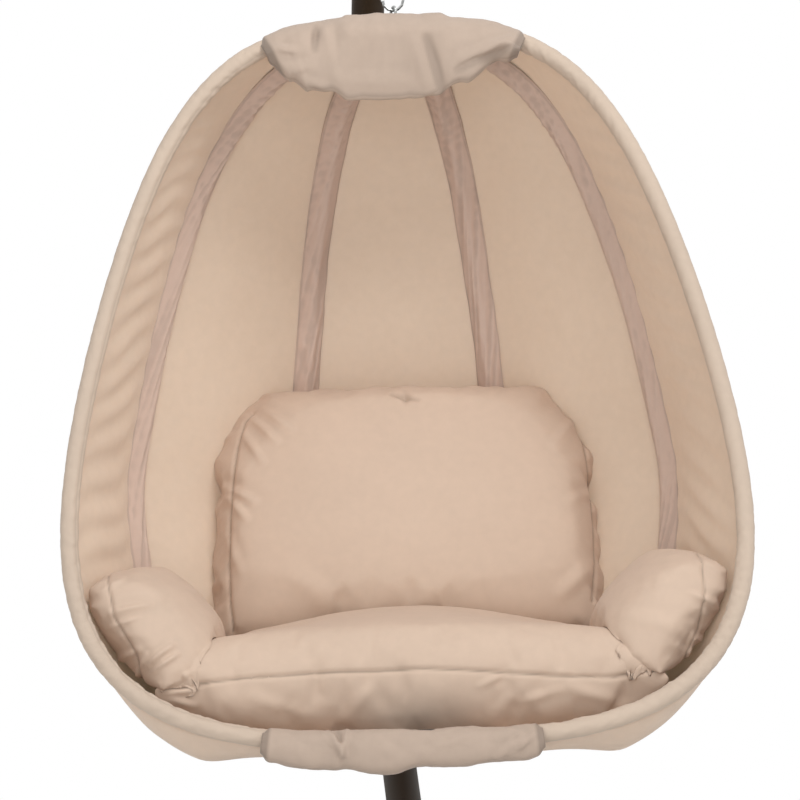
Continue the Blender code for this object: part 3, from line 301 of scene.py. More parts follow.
COAT, ZINC, PLASTIC = coat_finish(), zinc_finish(), plastic_finish()
FINISHES = {"coated_steel": COAT, "zinc": ZINC, "black_plastic": PLASTIC,
            "fabric": CANVAS, "strip_fabric": STRIP}
for part in frame["record"]["subparts"]:
    solid = frame["nodes"][part["node"]]
    solid.data.materials.clear()
    solid.data.materials.append(FINISHES[part["material_slot"]])
print("solids painted", len(frame["nodes"]))

# %% [markdown]
# ## Pieces
# Each new piece sits at the origin with its place in its mesh, rides on one body of the model and names
# the solids that it stands for.

# %% Finish a mesh as a piece
def add_piece(name, bm, finish, body, stands_for=(), sharp=50):
    mesh = bpy.data.meshes.new(name)
    bm.to_mesh(mesh)
    bm.free()
    mesh.materials.append(finish)
    mesh.shade_smooth()
    mesh.set_sharp_from_angle(angle=math.radians(sharp))
    piece = bpy.data.objects.new(name, mesh)
    bpy.context.scene.collection.objects.link(piece)
    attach(piece, body)
    if stands_for:
        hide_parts(*stands_for)
    print(name, len(mesh.polygons), "faces")
    return piece


# %% [markdown]
# ## The stand
# Bent tube is made in the mesh as it is in the workshop: a circle is pushed along a straight run, then spun
# about the centre of each bend. A move is a length, or a pair of bend radius and turn. Where two lengths
# meet, a hair's breadth is left between them.

# %% Tube bender
def bend_tube(bm, start, ahead, across, diameter, moves, sides=28, step=4.0):
    start, ahead = Vector(start), Vector(ahead).normalized()
    place = Matrix.Translation(start) @ ahead.to_track_quat("Z", "Y").to_matrix().to_4x4()
    bmesh.ops.create_circle(bm, segments=sides, radius=diameter / 2, matrix=place)
    edges = bm.edges[:]
    for move in moves:
        if isinstance(move, tuple):
            radius, angle = move
            swing = math.radians(angle)
            centre = start + across.cross(ahead) * math.copysign(radius, angle)
            made = bmesh.ops.spin(bm, geom=edges, cent=centre, axis=across, angle=swing,
                                  steps=max(3, math.ceil(abs(angle) / step)))["geom_last"]
            spun = Matrix.Rotation(swing, 3, across)
            start, ahead = centre + spun @ (start - centre), spun @ ahead
        else:
            made = bmesh.ops.extrude_edge_only(bm, edges=edges)["geom"]
            moved = [item for item in made if isinstance(item, bmesh.types.BMVert)]
            bmesh.ops.translate(bm, verts=moved, vec=ahead * move)
            start = start + ahead * move
        edges = [item for item in made if isinstance(item, bmesh.types.BMEdge)]
    bmesh.ops.remove_doubles(bm, verts=bm.verts, dist=1e-5)
    bmesh.ops.holes_fill(bm, edges=[edge for edge in bm.edges if edge.is_boundary], sides=0)
    bmesh.ops.recalc_face_normals(bm, faces=bm.faces)
    return start


STAND = Matrix.Rotation(math.radians(4.2), 4, "Z")
RING_RADIUS, RING_TUBE, RING_HEIGHT = 0.570, 0.042, 0.033
POLE_TUBE, FOOT_HEIGHT, FOOT_TIP = 0.060, 0.088, 0.5876
BOW, NECK = (0.900, 95.0), (0.497, 85.0)
STRAIGHT, ARM_END, ARM_BEND = 0.388, 0.075, 0.030
SEAM_GAP, SEAM_TURN, HALF_RING = 0.0003, 0.02, 179.94
print("tube bender ready")

# %% [markdown]
# The base is a ring of two half circles. Each is one spin of the tube's circle by just under half a turn.

# %% Base ring
for name, side in (("base_ring_back", 1), ("base_ring_front", -1)):
    bm = bmesh.new()
    start = Vector((side * RING_RADIUS, SEAM_GAP * side, RING_HEIGHT))
    bend_tube(bm, start, Y * side, Z, RING_TUBE, [(RING_RADIUS, HALF_RING)])
    bmesh.ops.transform(bm, matrix=STAND, verts=bm.verts)
    add_piece("half_" + name[5:], bm, COAT, "stand", [name])

# %% [markdown]
# The pole rises from the front of the ring in a wide bow, runs up a straight neck and comes back over the
# chair in a tighter bow, which ends `ARM_BEND` behind the hook. It ships in two lengths that meet behind the
# seat, a little over two thirds of the way round the wide bow.

# %% Pole
swung = math.radians(BOW[1])
reach = (BOW[0] * math.sin(swung) + STRAIGHT * math.cos(swung)
         + NECK[0] * (math.sin(math.pi) - math.sin(swung)) - ARM_BEND)
split = BOW[1] * 8.5 / 12
bm = bmesh.new()
joint = bend_tube(bm, (0, -FOOT_TIP, FOOT_HEIGHT), Y, X, POLE_TUBE,
                  [FOOT_TIP - reach, (BOW[0], split - SEAM_TURN)], sides=36)
bmesh.ops.transform(bm, matrix=STAND, verts=bm.verts)
add_piece("lower_pole", bm, COAT, "stand", ["pole_lower"])

bm = bmesh.new()
rise = Vector((0, math.cos(math.radians(split)), math.sin(math.radians(split))))
tip = bend_tube(bm, joint + rise * (2 * SEAM_GAP), rise, X, POLE_TUBE,
                [(BOW[0], BOW[1] - split), STRAIGHT, NECK, ARM_END], sides=36)
bmesh.ops.transform(bm, matrix=STAND, verts=bm.verts)
add_piece("upper_pole", bm, COAT, "stand", ["pole_upper"])
print("pole tip", [round(value, 3) for value in tip], "joint", [round(value, 3) for value in joint])

# %% [markdown]
# ## Hanging hardware
# Links are bent from round wire, so the tube bender makes them too, only smaller. A link is two straight
# runs and two half turns; its last circle lands on its first and is merged with it.

# %% Chain links
LINK_TOP, LINK_PITCH, LINK_WIRE, LINK_BEND, LINK_RUN = 1.77692, 0.0486, 0.006, 0.012, 0.031
for number in (1, 2, 3):
    bm = bmesh.new()
    sideways = Y if number % 2 else X
    top = LINK_TOP - LINK_PITCH * (number - 1)
    start = sideways * LINK_BEND + Z * (top - LINK_BEND)
    bend_tube(bm, start, Z, Z.cross(sideways) * -1, LINK_WIRE,
              [(LINK_BEND, 180), LINK_RUN, (LINK_BEND, 180), LINK_RUN], sides=14, step=12)
    add_piece(f"link_{number}", bm, ZINC, "chain", [f"chain_link_{number}"])

# %% [markdown]
# ## The chair's own shape
# Six bows run from a hub at the top to one at the bottom. In the plane of the rim the outline is an egg:
# a flattened circle that is narrower above. The same outline, a little wider, bends the four ribs. All
# points are worked out in the chair's own frame, which leans back, and carried to the room by `CHAIR`.

# %% Bows
LEAN = math.radians(16.30)
CHAIR = Matrix.Translation((0, -0.00662, 1.53666)) @ Matrix.Rotation(-LEAN, 4, "X")
LENGTH = 1.180
EGG_WIDTH, EGG_TAPER, EGG_FULL = 0.5025, 0.1287, 0.0800
RIB_SPREAD, RIB_DIP, DIP_FROM = 1.05, 0.12, 0.55
HUB_REACH = 0.080
ANGLES = (-90.0, -56.0, -19.0, 19.0, 56.0, 90.0)


def half_width(height):
    c = 1 + 2 * height / LENGTH
    return max(0.0, 1 - c * c) ** (1 / 3) * (EGG_WIDTH - EGG_TAPER * c + EGG_FULL * c * c)


def spread(angle, height):
    """How much wider than the rim a rib bends; it dips in under the seat."""
    if abs(angle) == 90:
        return 1.0
    low = max(0.0, (-height / LENGTH - DIP_FROM) / 0.45)
    return RIB_SPREAD - RIB_DIP * math.cos(math.radians(angle)) * math.sin(math.pi * low) ** 2


def height_at(along):
    return -LENGTH / 2 * (1 - math.cos(along))


def bow_point(angle, along):
    out = Vector((math.sin(math.radians(angle)), math.cos(math.radians(angle)), 0))
    height = height_at(along)
    return out * (spread(angle, height) * half_width(height)) + Z * height


def bow_frame(angle, along):
    """A point of a bow with its outward and its sideways vector."""
    run = (bow_point(angle, along + 0.002) - bow_point(angle, along - 0.002)).normalized()
    out = Vector((math.sin(math.radians(angle)), math.cos(math.radians(angle)), 0))
    across = out.cross(Z)
    return bow_point(angle, along), across.cross(run), across


def along_at(width, bottom=False):
    """Where the rim is that far from its middle."""
    low, high = (math.pi - 0.7, math.pi - 1e-4) if bottom else (1e-4, 0.7)
    for halving in range(40):
        middle = (low + high) / 2
        if (half_width(height_at(middle)) < width) == bottom:
            high = middle
        else:
            low = middle
    return low


FIRST, LAST = along_at(HUB_REACH), along_at(HUB_REACH, bottom=True)
print("bows run", round(FIRST, 3), "to", round(LAST, 3))

# %% [markdown]
# Cloth pieces start as a flat grid, like a cut panel. Each vertex is then carried to its place on the chair,
# and the grid's UV map is stretched to metres, so that the weave keeps its true size. `sewn` says how much of
# a seam or tape is at a place of the panel; for the strips it also holds painted shade in their creases.

# %% A cut panel carried into place
def cut_panel(columns, rows, size, carry, tube=False, sewn=None):
    bm = bmesh.new()
    weave = bm.loops.layers.uv.new("cloth")
    seam_and_crease_shade = bm.verts.layers.float.new("seam_and_crease_shade")
    bmesh.ops.create_grid(bm, x_segments=columns, y_segments=rows, size=0.5)
    for face in bm.faces:
        for loop in face.loops:
            place = loop.vert.co
            loop[weave].uv = ((place.x + 0.5) * size[0], (place.y + 0.5) * size[1])
    for vert in bm.verts:
        across, along = vert.co.x + 0.5, 0.5 - vert.co.y
        vert.co = CHAIR @ carry(across, along)
        if sewn:
            vert[seam_and_crease_shade] = sewn(across, along)
    if tube:
        bmesh.ops.remove_doubles(bm, verts=bm.verts, dist=1e-6)
    bmesh.ops.recalc_face_normals(bm, faces=bm.faces)
    return bm


def close_ends(bm):
    bmesh.ops.holes_fill(bm, edges=[edge for edge in bm.edges if edge.is_boundary], sides=0)
    bmesh.ops.recalc_face_normals(bm, faces=bm.faces)


def smooth(low, high, value):
    share = min(1.0, max(0.0, (value - low) / (high - low)))
    return share * share * (3 - 2 * share)


def ripple(x, y, z=0.0):
    return noise.noise(Vector((x, y, z)))


def bell(value, width):
    return math.exp(-(value / width) ** 2)


def stretch(along):
    return FIRST + (LAST - FIRST) * along


print("panel cutter ready")

# %% [markdown]
# The bows are tube of about 22 mm. They hide under cloth, but a smooth tube keeps the cloth over it smooth,
# so each straight-sided solid gets a round one in its place.

# %% Bow tubes
BOW_RADIUS = 0.0108


def bow_tube(name, angle, node):
    def carry(around, along):
        point, out, across = bow_frame(angle, stretch(along))
        spin = 2 * math.pi * around
        return point + (out * math.cos(spin) + across * math.sin(spin)) * BOW_RADIUS
    bm = cut_panel(16, 90, (0.07, 1.8), carry, tube=True)
    close_ends(bm)
    add_piece(name, bm, COAT, "chair", [node])


BOWS = ("rim_tube_left", "rib_outer_left", "rib_inner_left", "rib_inner_right", "rib_outer_right",
        "rim_tube_right")
for node, angle in zip(BOWS, ANGLES):
    bow_tube("bent_" + node, angle, node)

# %% [markdown]
# ## The shell
# The shell is one sewn sheet of canvas pulled over the ribs. Between two ribs it is drawn tight sideways
# and curves with the ribs lengthwise, so each panel dips inwards a little. The side panels carry slanting
# drag folds, and the seat's weight pulls their lower ends down into a shallow belly under the rim.

# %% Shell
SHELL_CUT = (1.72, 1.78)
OVER_SLEEVE, SLEEVE_TURN, OVER_RIB = 0.0149, math.radians(50), 0.0122
PANEL_DIP, BELLY, DRAG = 0.030, 0.046, 0.0036


def ridge(angle, along):
    """The shell's line over a bow; at the rim it starts on the back of the sleeve."""
    point, out, across = bow_frame(angle, along)
    if abs(angle) == 90:
        return point + out * (OVER_SLEEVE * math.cos(SLEEVE_TURN)) + Y * (OVER_SLEEVE * math.sin(SLEEVE_TURN))
    return point + out * OVER_RIB


def shell_place(share, down):
    along = stretch(down)
    panel = min(4, int(share * 5))
    across = share * 5 - panel
    first, second = ridge(ANGLES[panel], along), ridge(ANGLES[panel + 1], along)
    point = first.lerp(second, across)
    middle = math.sin(math.pi * across)
    inwards = Vector((-point.x, -point.y, 0)).normalized()
    point += inwards * (PANEL_DIP * (second - first).length * middle)
    if panel in (0, 4):
        side = across if panel == 0 else 1 - across
        height = height_at(along)
        low = smooth(-0.96, -1.10, height) * (1 - 0.75 * smooth(-1.135, -1.172, height))
        point -= (Z * 0.9 - Y * 0.25) * (BELLY * low * math.sin(math.pi * side ** 0.8))
        drag = math.sin(2 * math.pi * (down * 30 + side * 2.6) + 3 * ripple(down * 9, side * 2, panel))
        drag *= smooth(0.12, 0.30, down) * (1 - smooth(0.60, 0.75, down))
        point += inwards * (drag * DRAG * middle)
    fold = ripple(point.x * 7, point.y * 7, point.z * 4) * 0.0026 * middle
    fold += ripple(panel * 9.1 + across * 5 + along * 9, along * 3 - across * 4, 3.7) * 0.0016 * middle
    return point + inwards * fold


def shell_sewn(share, down):
    return 0.5 * max(bell(share, 0.004), bell(1 - share, 0.004))


bm = cut_panel(140, 190, SHELL_CUT, shell_place, sewn=shell_sewn)
area = sum(face.calc_area() for face in bm.faces)
shell = add_piece("canvas_shell", bm, SHELL_PAINTED_LIGHT, "chair", ["shell_fabric"])
thick = shell.modifiers.new("cloth", "SOLIDIFY")
thick.thickness = 0.0016
thick.offset = 1.0
print("shell area", round(area, 3))

# %% [markdown]
# Each rib hides behind a strip that is sewn to the shell along both edges. The strip follows the tube in a
# low ridge. Near the top it is bunched up into short creases across; lower down a few long folds slant over
# it.

# %% Rib strips
STRIP_WIDTH, STRIP_LENGTH = 0.052, 1.85
STRIP_ROUND, STRIP_FLANK, FLANK_SLOPE = 0.0132, 0.0098, 0.72


def strip_crease(s, along, seed):
    """How far the strip stands up in folds: sharp short ones near the top, slanting ones below."""
    top = 1 - smooth(0.05, 0.34, along)
    bunch = 1 - abs(math.sin(math.pi * along * 70 + 1.6 * ripple(along * 34, s * 45, seed) + s * 40))
    rise = bunch * (0.0008 + 0.0034 * top) * (0.7 + 0.9 * ripple(along * 19, s * 30, seed + 6))
    rise += (1 - 2.2 * abs(ripple(along * 26 + s * 110, seed, along * 3))) * 0.0030 * (1 - 0.4 * top)
    return rise + ripple(along * 64 - s * 80, seed + 3) * 0.0014


def strip_place(angle, seed):
    def carry(across, along):
        point, out, sideways = bow_frame(angle, stretch(along))
        s = (across - 0.5) * STRIP_WIDTH
        edge = abs(s)
        lift = max(0.0, edge - STRIP_FLANK) * FLANK_SLOPE
        lift -= math.sqrt(STRIP_ROUND ** 2 - min(edge, STRIP_FLANK) ** 2)
        hem = math.cos(math.pi * min(1.0, edge / (STRIP_WIDTH / 2)) / 2) ** 0.4
        wander = ripple(along * 9, seed) * 0.004 + ripple(along * 34, seed + 2) * 0.0016 * (s > 0)
        return point + out * (lift - hem * max(0.0, strip_crease(s, along, seed))) + sideways * (s + wander)
    return carry


def strip_seams_and_crease_shade(seed):
    def sewn(across, along):
        edge = min(across, 1 - across) * STRIP_WIDTH
        # Besides the sewn edges, the valleys between the creases get painted shade.
        painted_crease_shade = 0.30 * (1 - smooth(0.0, 0.0022, strip_crease((across - 0.5) * STRIP_WIDTH, along, seed)))
        return 0.50 * bell(edge - 0.0030, 0.0012) + 0.25 * bell(edge, 0.0015) + painted_crease_shade
    return sewn


STRIPS = ("outer_left", "inner_left", "inner_right", "outer_right")
for number, (side, angle) in enumerate(zip(STRIPS, ANGLES[1:5])):
    seed = 11.3 * number + 2.0
    bm = cut_panel(30, 400, (0.058, 1.78), strip_place(angle, seed), sewn=strip_seams_and_crease_shade(seed))
    area = sum(face.calc_area() for face in bm.faces)
    strip = add_piece("sewn_strip_" + side, bm, STRIP, "chair", ["rib_sleeve_" + side])
    thick = strip.modifiers.new("cloth", "SOLIDIFY")
    thick.thickness = 0.0012
    thick.offset = -1.0
    area / STRIP_LENGTH

# %% [markdown]
# The rim is a tube in a thin padded sleeve. The sleeve's cloth is a little too long, so it lies in small
# puckers across the tube, with a sewn line on its inner side.

# %% Rim sleeves
RIM_SLEEVE, RIM_SEAM = 0.0144, 3.9


def rim_place(angle, seed):
    def carry(around, along):
        point, out, across = bow_frame(angle, stretch(along))
        spin = 2 * math.pi * around
        inner = 0.5 - 0.5 * math.cos(spin)
        pucker = ripple(along * 120 + math.sin(spin) * 1.6, math.cos(spin) * 1.2, seed)
        pucker += 0.5 * ripple(along * 260, 2 * math.cos(spin), 2 * math.sin(spin) + seed)
        busy = smooth(0.55, 0.80, along) + 0.9 * (1 - smooth(0.10, 0.30, along)) + 0.25
        radius = RIM_SLEEVE + pucker * (0.0005 + 0.0015 * busy * (0.3 + 0.7 * inner))
        # How close the point is to the sleeve's sewn line; the cloth is sunk there.
        seam_and_crease_shade = bell(spin - RIM_SEAM, 0.12)
        return point + (out * math.cos(spin) + across * math.sin(spin)) * (radius - 0.0013 * seam_and_crease_shade)
    return carry


def rim_sewn(around, along):
    return 0.6 * bell(2 * math.pi * around - RIM_SEAM, 0.07)


for side, angle, seed in (("left", -90.0, 1.5), ("right", 90.0, 8.2)):
    bm = cut_panel(36, 560, (0.092, 1.80), rim_place(angle, seed), tube=True, sewn=rim_sewn)
    close_ends(bm)
    sleeve = add_piece("padded_rim_" + side, bm, SLEEVE_PAINTED_SHADE, "chair", ["rim_sleeve_" + side])

# %% [markdown]
# ## Cushions
# A cushion starts from its solid. A voxel remesh gives it an even skin, which is smoothed and then blown up
# as cloth that is cut a little too large, so the sides round out and the cover wrinkles as a stuffed one
# does. What then reaches into the shell or into a cushion made before is pressed back to its surface.

# %% Blow up a cushion
MIDDLE = CHAIR @ Vector((0, 0.15, -0.65))
PRESSURE, LAST_FRAME = 4.0, 20
CLEAR, NEAR_WALL = 0.0015, 0.06


def bake(form):
    """Replace an object's mesh by what its modifiers make of it."""
    graph = bpy.context.evaluated_depsgraph_get()
    made = bpy.data.meshes.new_from_object(form.evaluated_get(graph))
    form.modifiers.clear()
    form.data = made


def remesh_solid(node, voxel, rounds, grow, shift):
    bm = bmesh.new()
    bm.from_mesh(frame["nodes"][node].data)
    bmesh.ops.remove_doubles(bm, verts=bm.verts, dist=1e-5)
    centre = sum((vert.co for vert in bm.verts), Vector()) / len(bm.verts)
    turned = CHAIR.to_3x3().to_4x4()
    size = turned @ Matrix.Diagonal((*grow, 1)) @ turned.inverted()
    place = Matrix.Translation(centre + turned @ Vector(shift)) @ size @ Matrix.Translation(-centre)
    bmesh.ops.transform(bm, matrix=place, verts=bm.verts)
    mesh = bpy.data.meshes.new("stuffing")
    bm.to_mesh(mesh)
    bm.free()
    form = bpy.data.objects.new("stuffing", mesh)
    bpy.context.scene.collection.objects.link(form)
    remesh = form.modifiers.new("skin", "REMESH")
    remesh.mode = "VOXEL"
    remesh.voxel_size = voxel
    soften = form.modifiers.new("soften", "SMOOTH")
    soften.factor = 0.5
    soften.iterations = rounds
    bake(form)
    return form


def wall(name):
    """A finished piece to press a cushion against, and whether it is a sheet, which has no inside."""
    mesh = bpy.data.objects[name].data
    faces = [tuple(face.vertices) for face in mesh.polygons]
    tree = BVHTree.FromPolygons([vert.co for vert in mesh.vertices], faces)
    return tree, name.startswith(("canvas", "sewn"))


def keep_off(bm, walls):
    """Move points that lie in a wall out of it; a sheet is kept on the side of the chair's middle."""
    for tree, sheet in walls:
        for vert in bm.verts:
            near, side = tree.find_nearest(vert.co, NEAR_WALL)[:2]
            if near is not None:
                if sheet and side.dot(MIDDLE - near) < 0:
                    side = -side
                deep = CLEAR - (vert.co - near).dot(side)
                if deep > 0:
                    vert.co += side * deep


def blow_up(form, spare, most):
    """Inflate the cover, which has some spare cloth, and let no point move further than `most`."""
    rest = [vert.co.copy() for vert in form.data.vertices]
    cloth = form.modifiers.new("cloth", "CLOTH")
    cloth.settings.quality = 4
    cloth.settings.mass = 0.25
    cloth.settings.tension_stiffness = 12
    cloth.settings.compression_stiffness = 6
    cloth.settings.bending_stiffness = 0.3
    cloth.settings.shrink_min = -spare
    cloth.settings.use_pressure = True
    cloth.settings.uniform_pressure_force = PRESSURE
    cloth.settings.effector_weights.gravity = 0
    cloth.point_cache.frame_start = 1
    cloth.point_cache.frame_end = LAST_FRAME
    scene = bpy.context.scene
    for number in range(1, LAST_FRAME + 1):
        scene.frame_set(number)
    bake(form)
    scene.frame_set(1)
    for vert, old in zip(form.data.vertices, rest):
        move = vert.co - old
        if move.length > most:
            move *= most / move.length
        vert.co = old + move


def stuffed(node, voxel, rounds, grow, shift, spare, most, walls):
    form = remesh_solid(node, voxel, rounds, grow, shift)
    blow_up(form, spare, most)
    soften = form.modifiers.new("soften", "SMOOTH")
    soften.factor = 0.5
    soften.iterations = 3
    finer = form.modifiers.new("finer", "SUBSURF")
    finer.levels = 1
    finer.render_levels = 1
    bake(form)
    bm = bmesh.new()
    bm.from_mesh(form.data)
    bpy.data.objects.remove(form)
    near = [wall(name) for name in walls]
    for press in range(3):
        keep_off(bm, near)
        if press < 2:
            bmesh.ops.smooth_vert(bm, verts=bm.verts, factor=0.5,
                                  use_axis_x=True, use_axis_y=True, use_axis_z=True)
    print(node, "skin", len(bm.verts))
    return bm


# %% [markdown]
# Folds and sewn lines come after the blowing up, because a remesh would wash them out. A fold is a line seen
# from the front, with a width and a height: points near it rise, and points a little further off sink; where
# they sink, painted shade goes into the same mesh value that the seams use. A seam is a path: points close
# to it are drawn in, and a value is kept there for the finish to darken.

# %% Folds, seams and a weave direction
def line_distance(here, first, second):
    run = second - first
    share = min(1.0, max(0.0, (here - first).dot(run) / run.length_squared))
    return (here - first - run * share).length, share


def fold_rise(here, folds):
    rise = 0.0
    for first, second, width, high in folds:
        far, share = line_distance(here, Vector(first), Vector(second))
        if far < 4 * width:
            taper = 0.25 + 0.75 * math.sin(math.pi * min(1.0, 0.1 + 0.8 * share))
            rise += high * taper * (1.45 * bell(far, width) - 0.45 * bell(far, 2 * width))
    return rise


def press_folds(bm, folds, deepest):
    layer = bm.verts.layers.float.get("seam_and_crease_shade") or bm.verts.layers.float.new("seam_and_crease_shade")
    bm.normal_update()
    back = CHAIR.inverted()
    moves = []
    for vert in bm.verts:
        place = back @ vert.co
        facing = (back.to_3x3() @ vert.normal).y
        rise = 0.0014 * ripple(place.x * 9, place.y * 9, place.z * 9)
        rise += 0.0008 * ripple(place.x * 24, place.y * 24, place.z * 24)
        if facing < 0.3 and place.y < deepest:
            lift = fold_rise(Vector((place.x, place.z)), folds) * (1 - smooth(-0.1, 0.3, facing))
            # Painted shade: the sunk flanks of a fold are darkened through the seam value.
            vert[layer] = min(0.45, max(0.0, -lift) * 120)
            rise += lift
        moves.append((vert, rise))
    for vert, rise in moves:
        vert.co += vert.normal * rise


def sew(bm, path, deepest, depth=0.0035, width=0.0035):
    layer = bm.verts.layers.float.get("seam_and_crease_shade") or bm.verts.layers.float.new("seam_and_crease_shade")
    bm.normal_update()
    back = CHAIR.inverted()
    points = [Vector(point) for point in path]
    moves = []
    for vert in bm.verts:
        place = back @ vert.co
        if (back.to_3x3() @ vert.normal).y < 0.3 and place.y < deepest:
            here = Vector((place.x, place.z))
            near = min(line_distance(here, a, b)[0] for a, b in zip(points, points[1:]))
            if near < 4 * width:
                vert[layer] = max(vert[layer], 0.8 * bell(near, 0.45 * width))
                moves.append((vert, -depth * bell(near, width)))
    for vert, move in moves:
        vert.co += vert.normal * move


def lay_weave(bm):
    """A UV map in metres, looking at each face along its main axis."""
    layer = bm.loops.layers.uv.new("cloth")
    for face in bm.faces:
        main = max(range(3), key=lambda axis: abs(face.normal[axis]))
        first, second = [axis for axis in range(3) if axis != main]
        for loop in face.loops:
            loop[layer].uv = (loop.vert.co[first], loop.vert.co[second])


INSIDE = ["canvas_shell", *("sewn_strip_" + side for side in STRIPS), "padded_rim_left", "padded_rim_right"]
print("sewing ready")

# %% [markdown]
# The seat is a boxed cushion with a domed top, pressed down at its sides by the pillows and the back. Its
# front band is sewn to the top along one line, and the cover gathers where the band ends at each side. Here
# and below, a fold is its two ends across and up the chair, its width and its height.

# %% Seat cushion
def settle(bm, middle, sides):
    """Lower the top behind the front edge, a little in the middle and more towards the sides."""
    back = CHAIR.inverted()
    down = CHAIR.to_3x3() @ Vector((0, 0, -1))
    for vert in bm.verts:
        place = back @ vert.co
        drop = middle + (sides - middle) * smooth(0.02, 0.32, abs(place.x))
        vert.co += down * (drop * smooth(0.05, 0.20, place.y) * smooth(-1.06, -0.96, place.z))


SEAT_DEEPEST = 0.20
SEAT_FOLDS = [((-0.392, -1.082), (-0.345, -1.056), 0.005, 0.005),
              ((-0.388, -1.088), (-0.350, -1.086), 0.005, 0.004),
              ((-0.380, -1.098), (-0.345, -1.108), 0.006, 0.004),
              ((-0.362, -1.046), (-0.352, -1.075), 0.005, 0.004),
              ((0.107, -1.090), (0.145, -1.072), 0.006, 0.003),
              ((0.170, -1.116), (0.233, -1.100), 0.008, 0.003),
              ((-0.067, -1.092), (-0.107, -1.132), 0.012, 0.003),
              ((-0.256, -1.100), (-0.178, -1.122), 0.012, 0.003),
              ((0.250, -1.098), (0.330, -1.122), 0.010, 0.003),
              ((0.300, -1.138), (0.370, -1.116), 0.008, 0.003)]
SEAT_SEAM = [(-0.395, -1.083), (-0.356, -1.080), (-0.276, -1.070), (-0.148, -1.064), (0.021, -1.061),
             (0.108, -1.067), (0.237, -1.079), (0.321, -1.082), (0.395, -1.070)]
bm = stuffed("seat_cushion", voxel=0.0065, rounds=8, grow=(1.02, 1.02, 1), shift=(0, -0.002, -0.006),
             spare=0.04, most=0.018, walls=INSIDE)
settle(bm, middle=0.008, sides=0.036)
keep_off(bm, [wall(name) for name in INSIDE])
press_folds(bm, SEAT_FOLDS, SEAT_DEEPEST)
sew(bm, SEAT_SEAM, SEAT_DEEPEST)
lay_weave(bm)
seat = add_piece("stuffed_seat", bm, CANVAS, "chair", ["seat_cushion"], sharp=180)

# %% [markdown]
# The back cushion leans on the shell. Its front is one crowned panel; the narrow side band shows along its
# left edge, and the filling has drawn the cover into folds at the upper left corner. At the middle of its top
# two folds of negative height make a small dent.

# %% Back cushion
BACK_DEEPEST = 0.46
BACK_FOLDS = [((-0.258, -0.572), (-0.215, -0.622), 0.008, 0.006),
              ((-0.236, -0.560), (-0.190, -0.600), 0.009, 0.005),
              ((-0.272, -0.600), (-0.238, -0.660), 0.008, 0.005),
              ((-0.302, -0.698), (-0.255, -0.730), 0.009, 0.006),
              ((-0.300, -0.714), (-0.268, -0.760), 0.008, 0.005),
              ((-0.298, -0.790), (-0.280, -0.850), 0.009, 0.004),
              ((0.300, -0.590), (0.262, -0.640), 0.010, 0.003),
              ((0.325, -0.720), (0.285, -0.742), 0.010, 0.003),
              ((0.310, -0.860), (0.262, -0.905), 0.014, 0.005),
              ((-0.190, -0.860), (-0.120, -0.925), 0.020, 0.003),
              ((-0.012, -0.541), (0.030, -0.553), 0.006, -0.005),
              ((0.008, -0.536), (0.010, -0.560), 0.006, -0.004)]
BACK_SEAMS = [[(-0.255, -0.560), (-0.269, -0.576), (-0.282, -0.625), (-0.291, -0.694), (-0.296, -0.763),
               (-0.298, -0.832), (-0.297, -0.900), (-0.291, -0.951)],
              [(0.280, -0.552), (0.299, -0.569), (0.317, -0.622), (0.325, -0.693), (0.327, -0.779),
               (0.325, -0.848), (0.316, -0.916)]]
bm = stuffed("back_cushion", voxel=0.0065, rounds=60, grow=(1.09, 1.02, 1.14), shift=(0.006, 0, 0.001),
             spare=0.05, most=0.030, walls=INSIDE + ["stuffed_seat"])
press_folds(bm, BACK_FOLDS, BACK_DEEPEST)
for path in BACK_SEAMS:
    sew(bm, path, BACK_DEEPEST)
lay_weave(bm)
rest = add_piece("stuffed_back", bm, CANVAS, "chair", ["back_cushion"], sharp=180)

# %% [markdown]
# The arm pillows are small, soft and full of creases, because they are squeezed between the seat and the
# shell. One seam runs down the front of each.

# %% Arm pillows
ARM_DEEPEST = 0.16
ARM_SHIFT = {"left": (-0.002, 0.014, -0.004), "right": (0.002, 0.014, 0.002)}
ARM_SEAMS = {"left": [(-0.482, -0.880), (-0.467, -0.971), (-0.434, -1.028), (-0.425, -1.085)],
             "right": [(0.465, -0.880), (0.468, -0.953), (0.459, -1.008), (0.440, -1.043), (0.425, -1.090)]}
ARM_FOLDS = {"left": [((-0.472, -0.963), (-0.410, -0.950), 0.006, 0.005),
                      ((-0.470, -0.984), (-0.430, -0.972), 0.005, 0.004),
                      ((-0.478, -1.027), (-0.430, -1.023), 0.006, 0.005),
                      ((-0.414, -1.044), (-0.376, -1.016), 0.006, 0.006),
                      ((-0.404, -1.054), (-0.368, -1.030), 0.005, 0.005),
                      ((-0.492, -0.930), (-0.455, -0.906), 0.006, 0.003),
                      ((-0.442, -1.064), (-0.418, -1.030), 0.005, 0.004),
                      ((-0.460, -0.940), (-0.350, -0.915), 0.014, 0.003)],
             "right": [((0.445, -0.955), (0.500, -0.978), 0.006, 0.004),
                       ((0.450, -1.022), (0.488, -1.013), 0.006, 0.005),
                       ((0.434, -1.056), (0.449, -1.018), 0.005, 0.005),
                       ((0.380, -0.923), (0.455, -0.915), 0.012, 0.003),
                       ((0.466, -0.900), (0.494, -0.922), 0.006, 0.003),
                       ((0.440, -1.082), (0.466, -1.048), 0.005, 0.004),
                       ((0.340, -0.985), (0.420, -1.010), 0.014, 0.003)]}
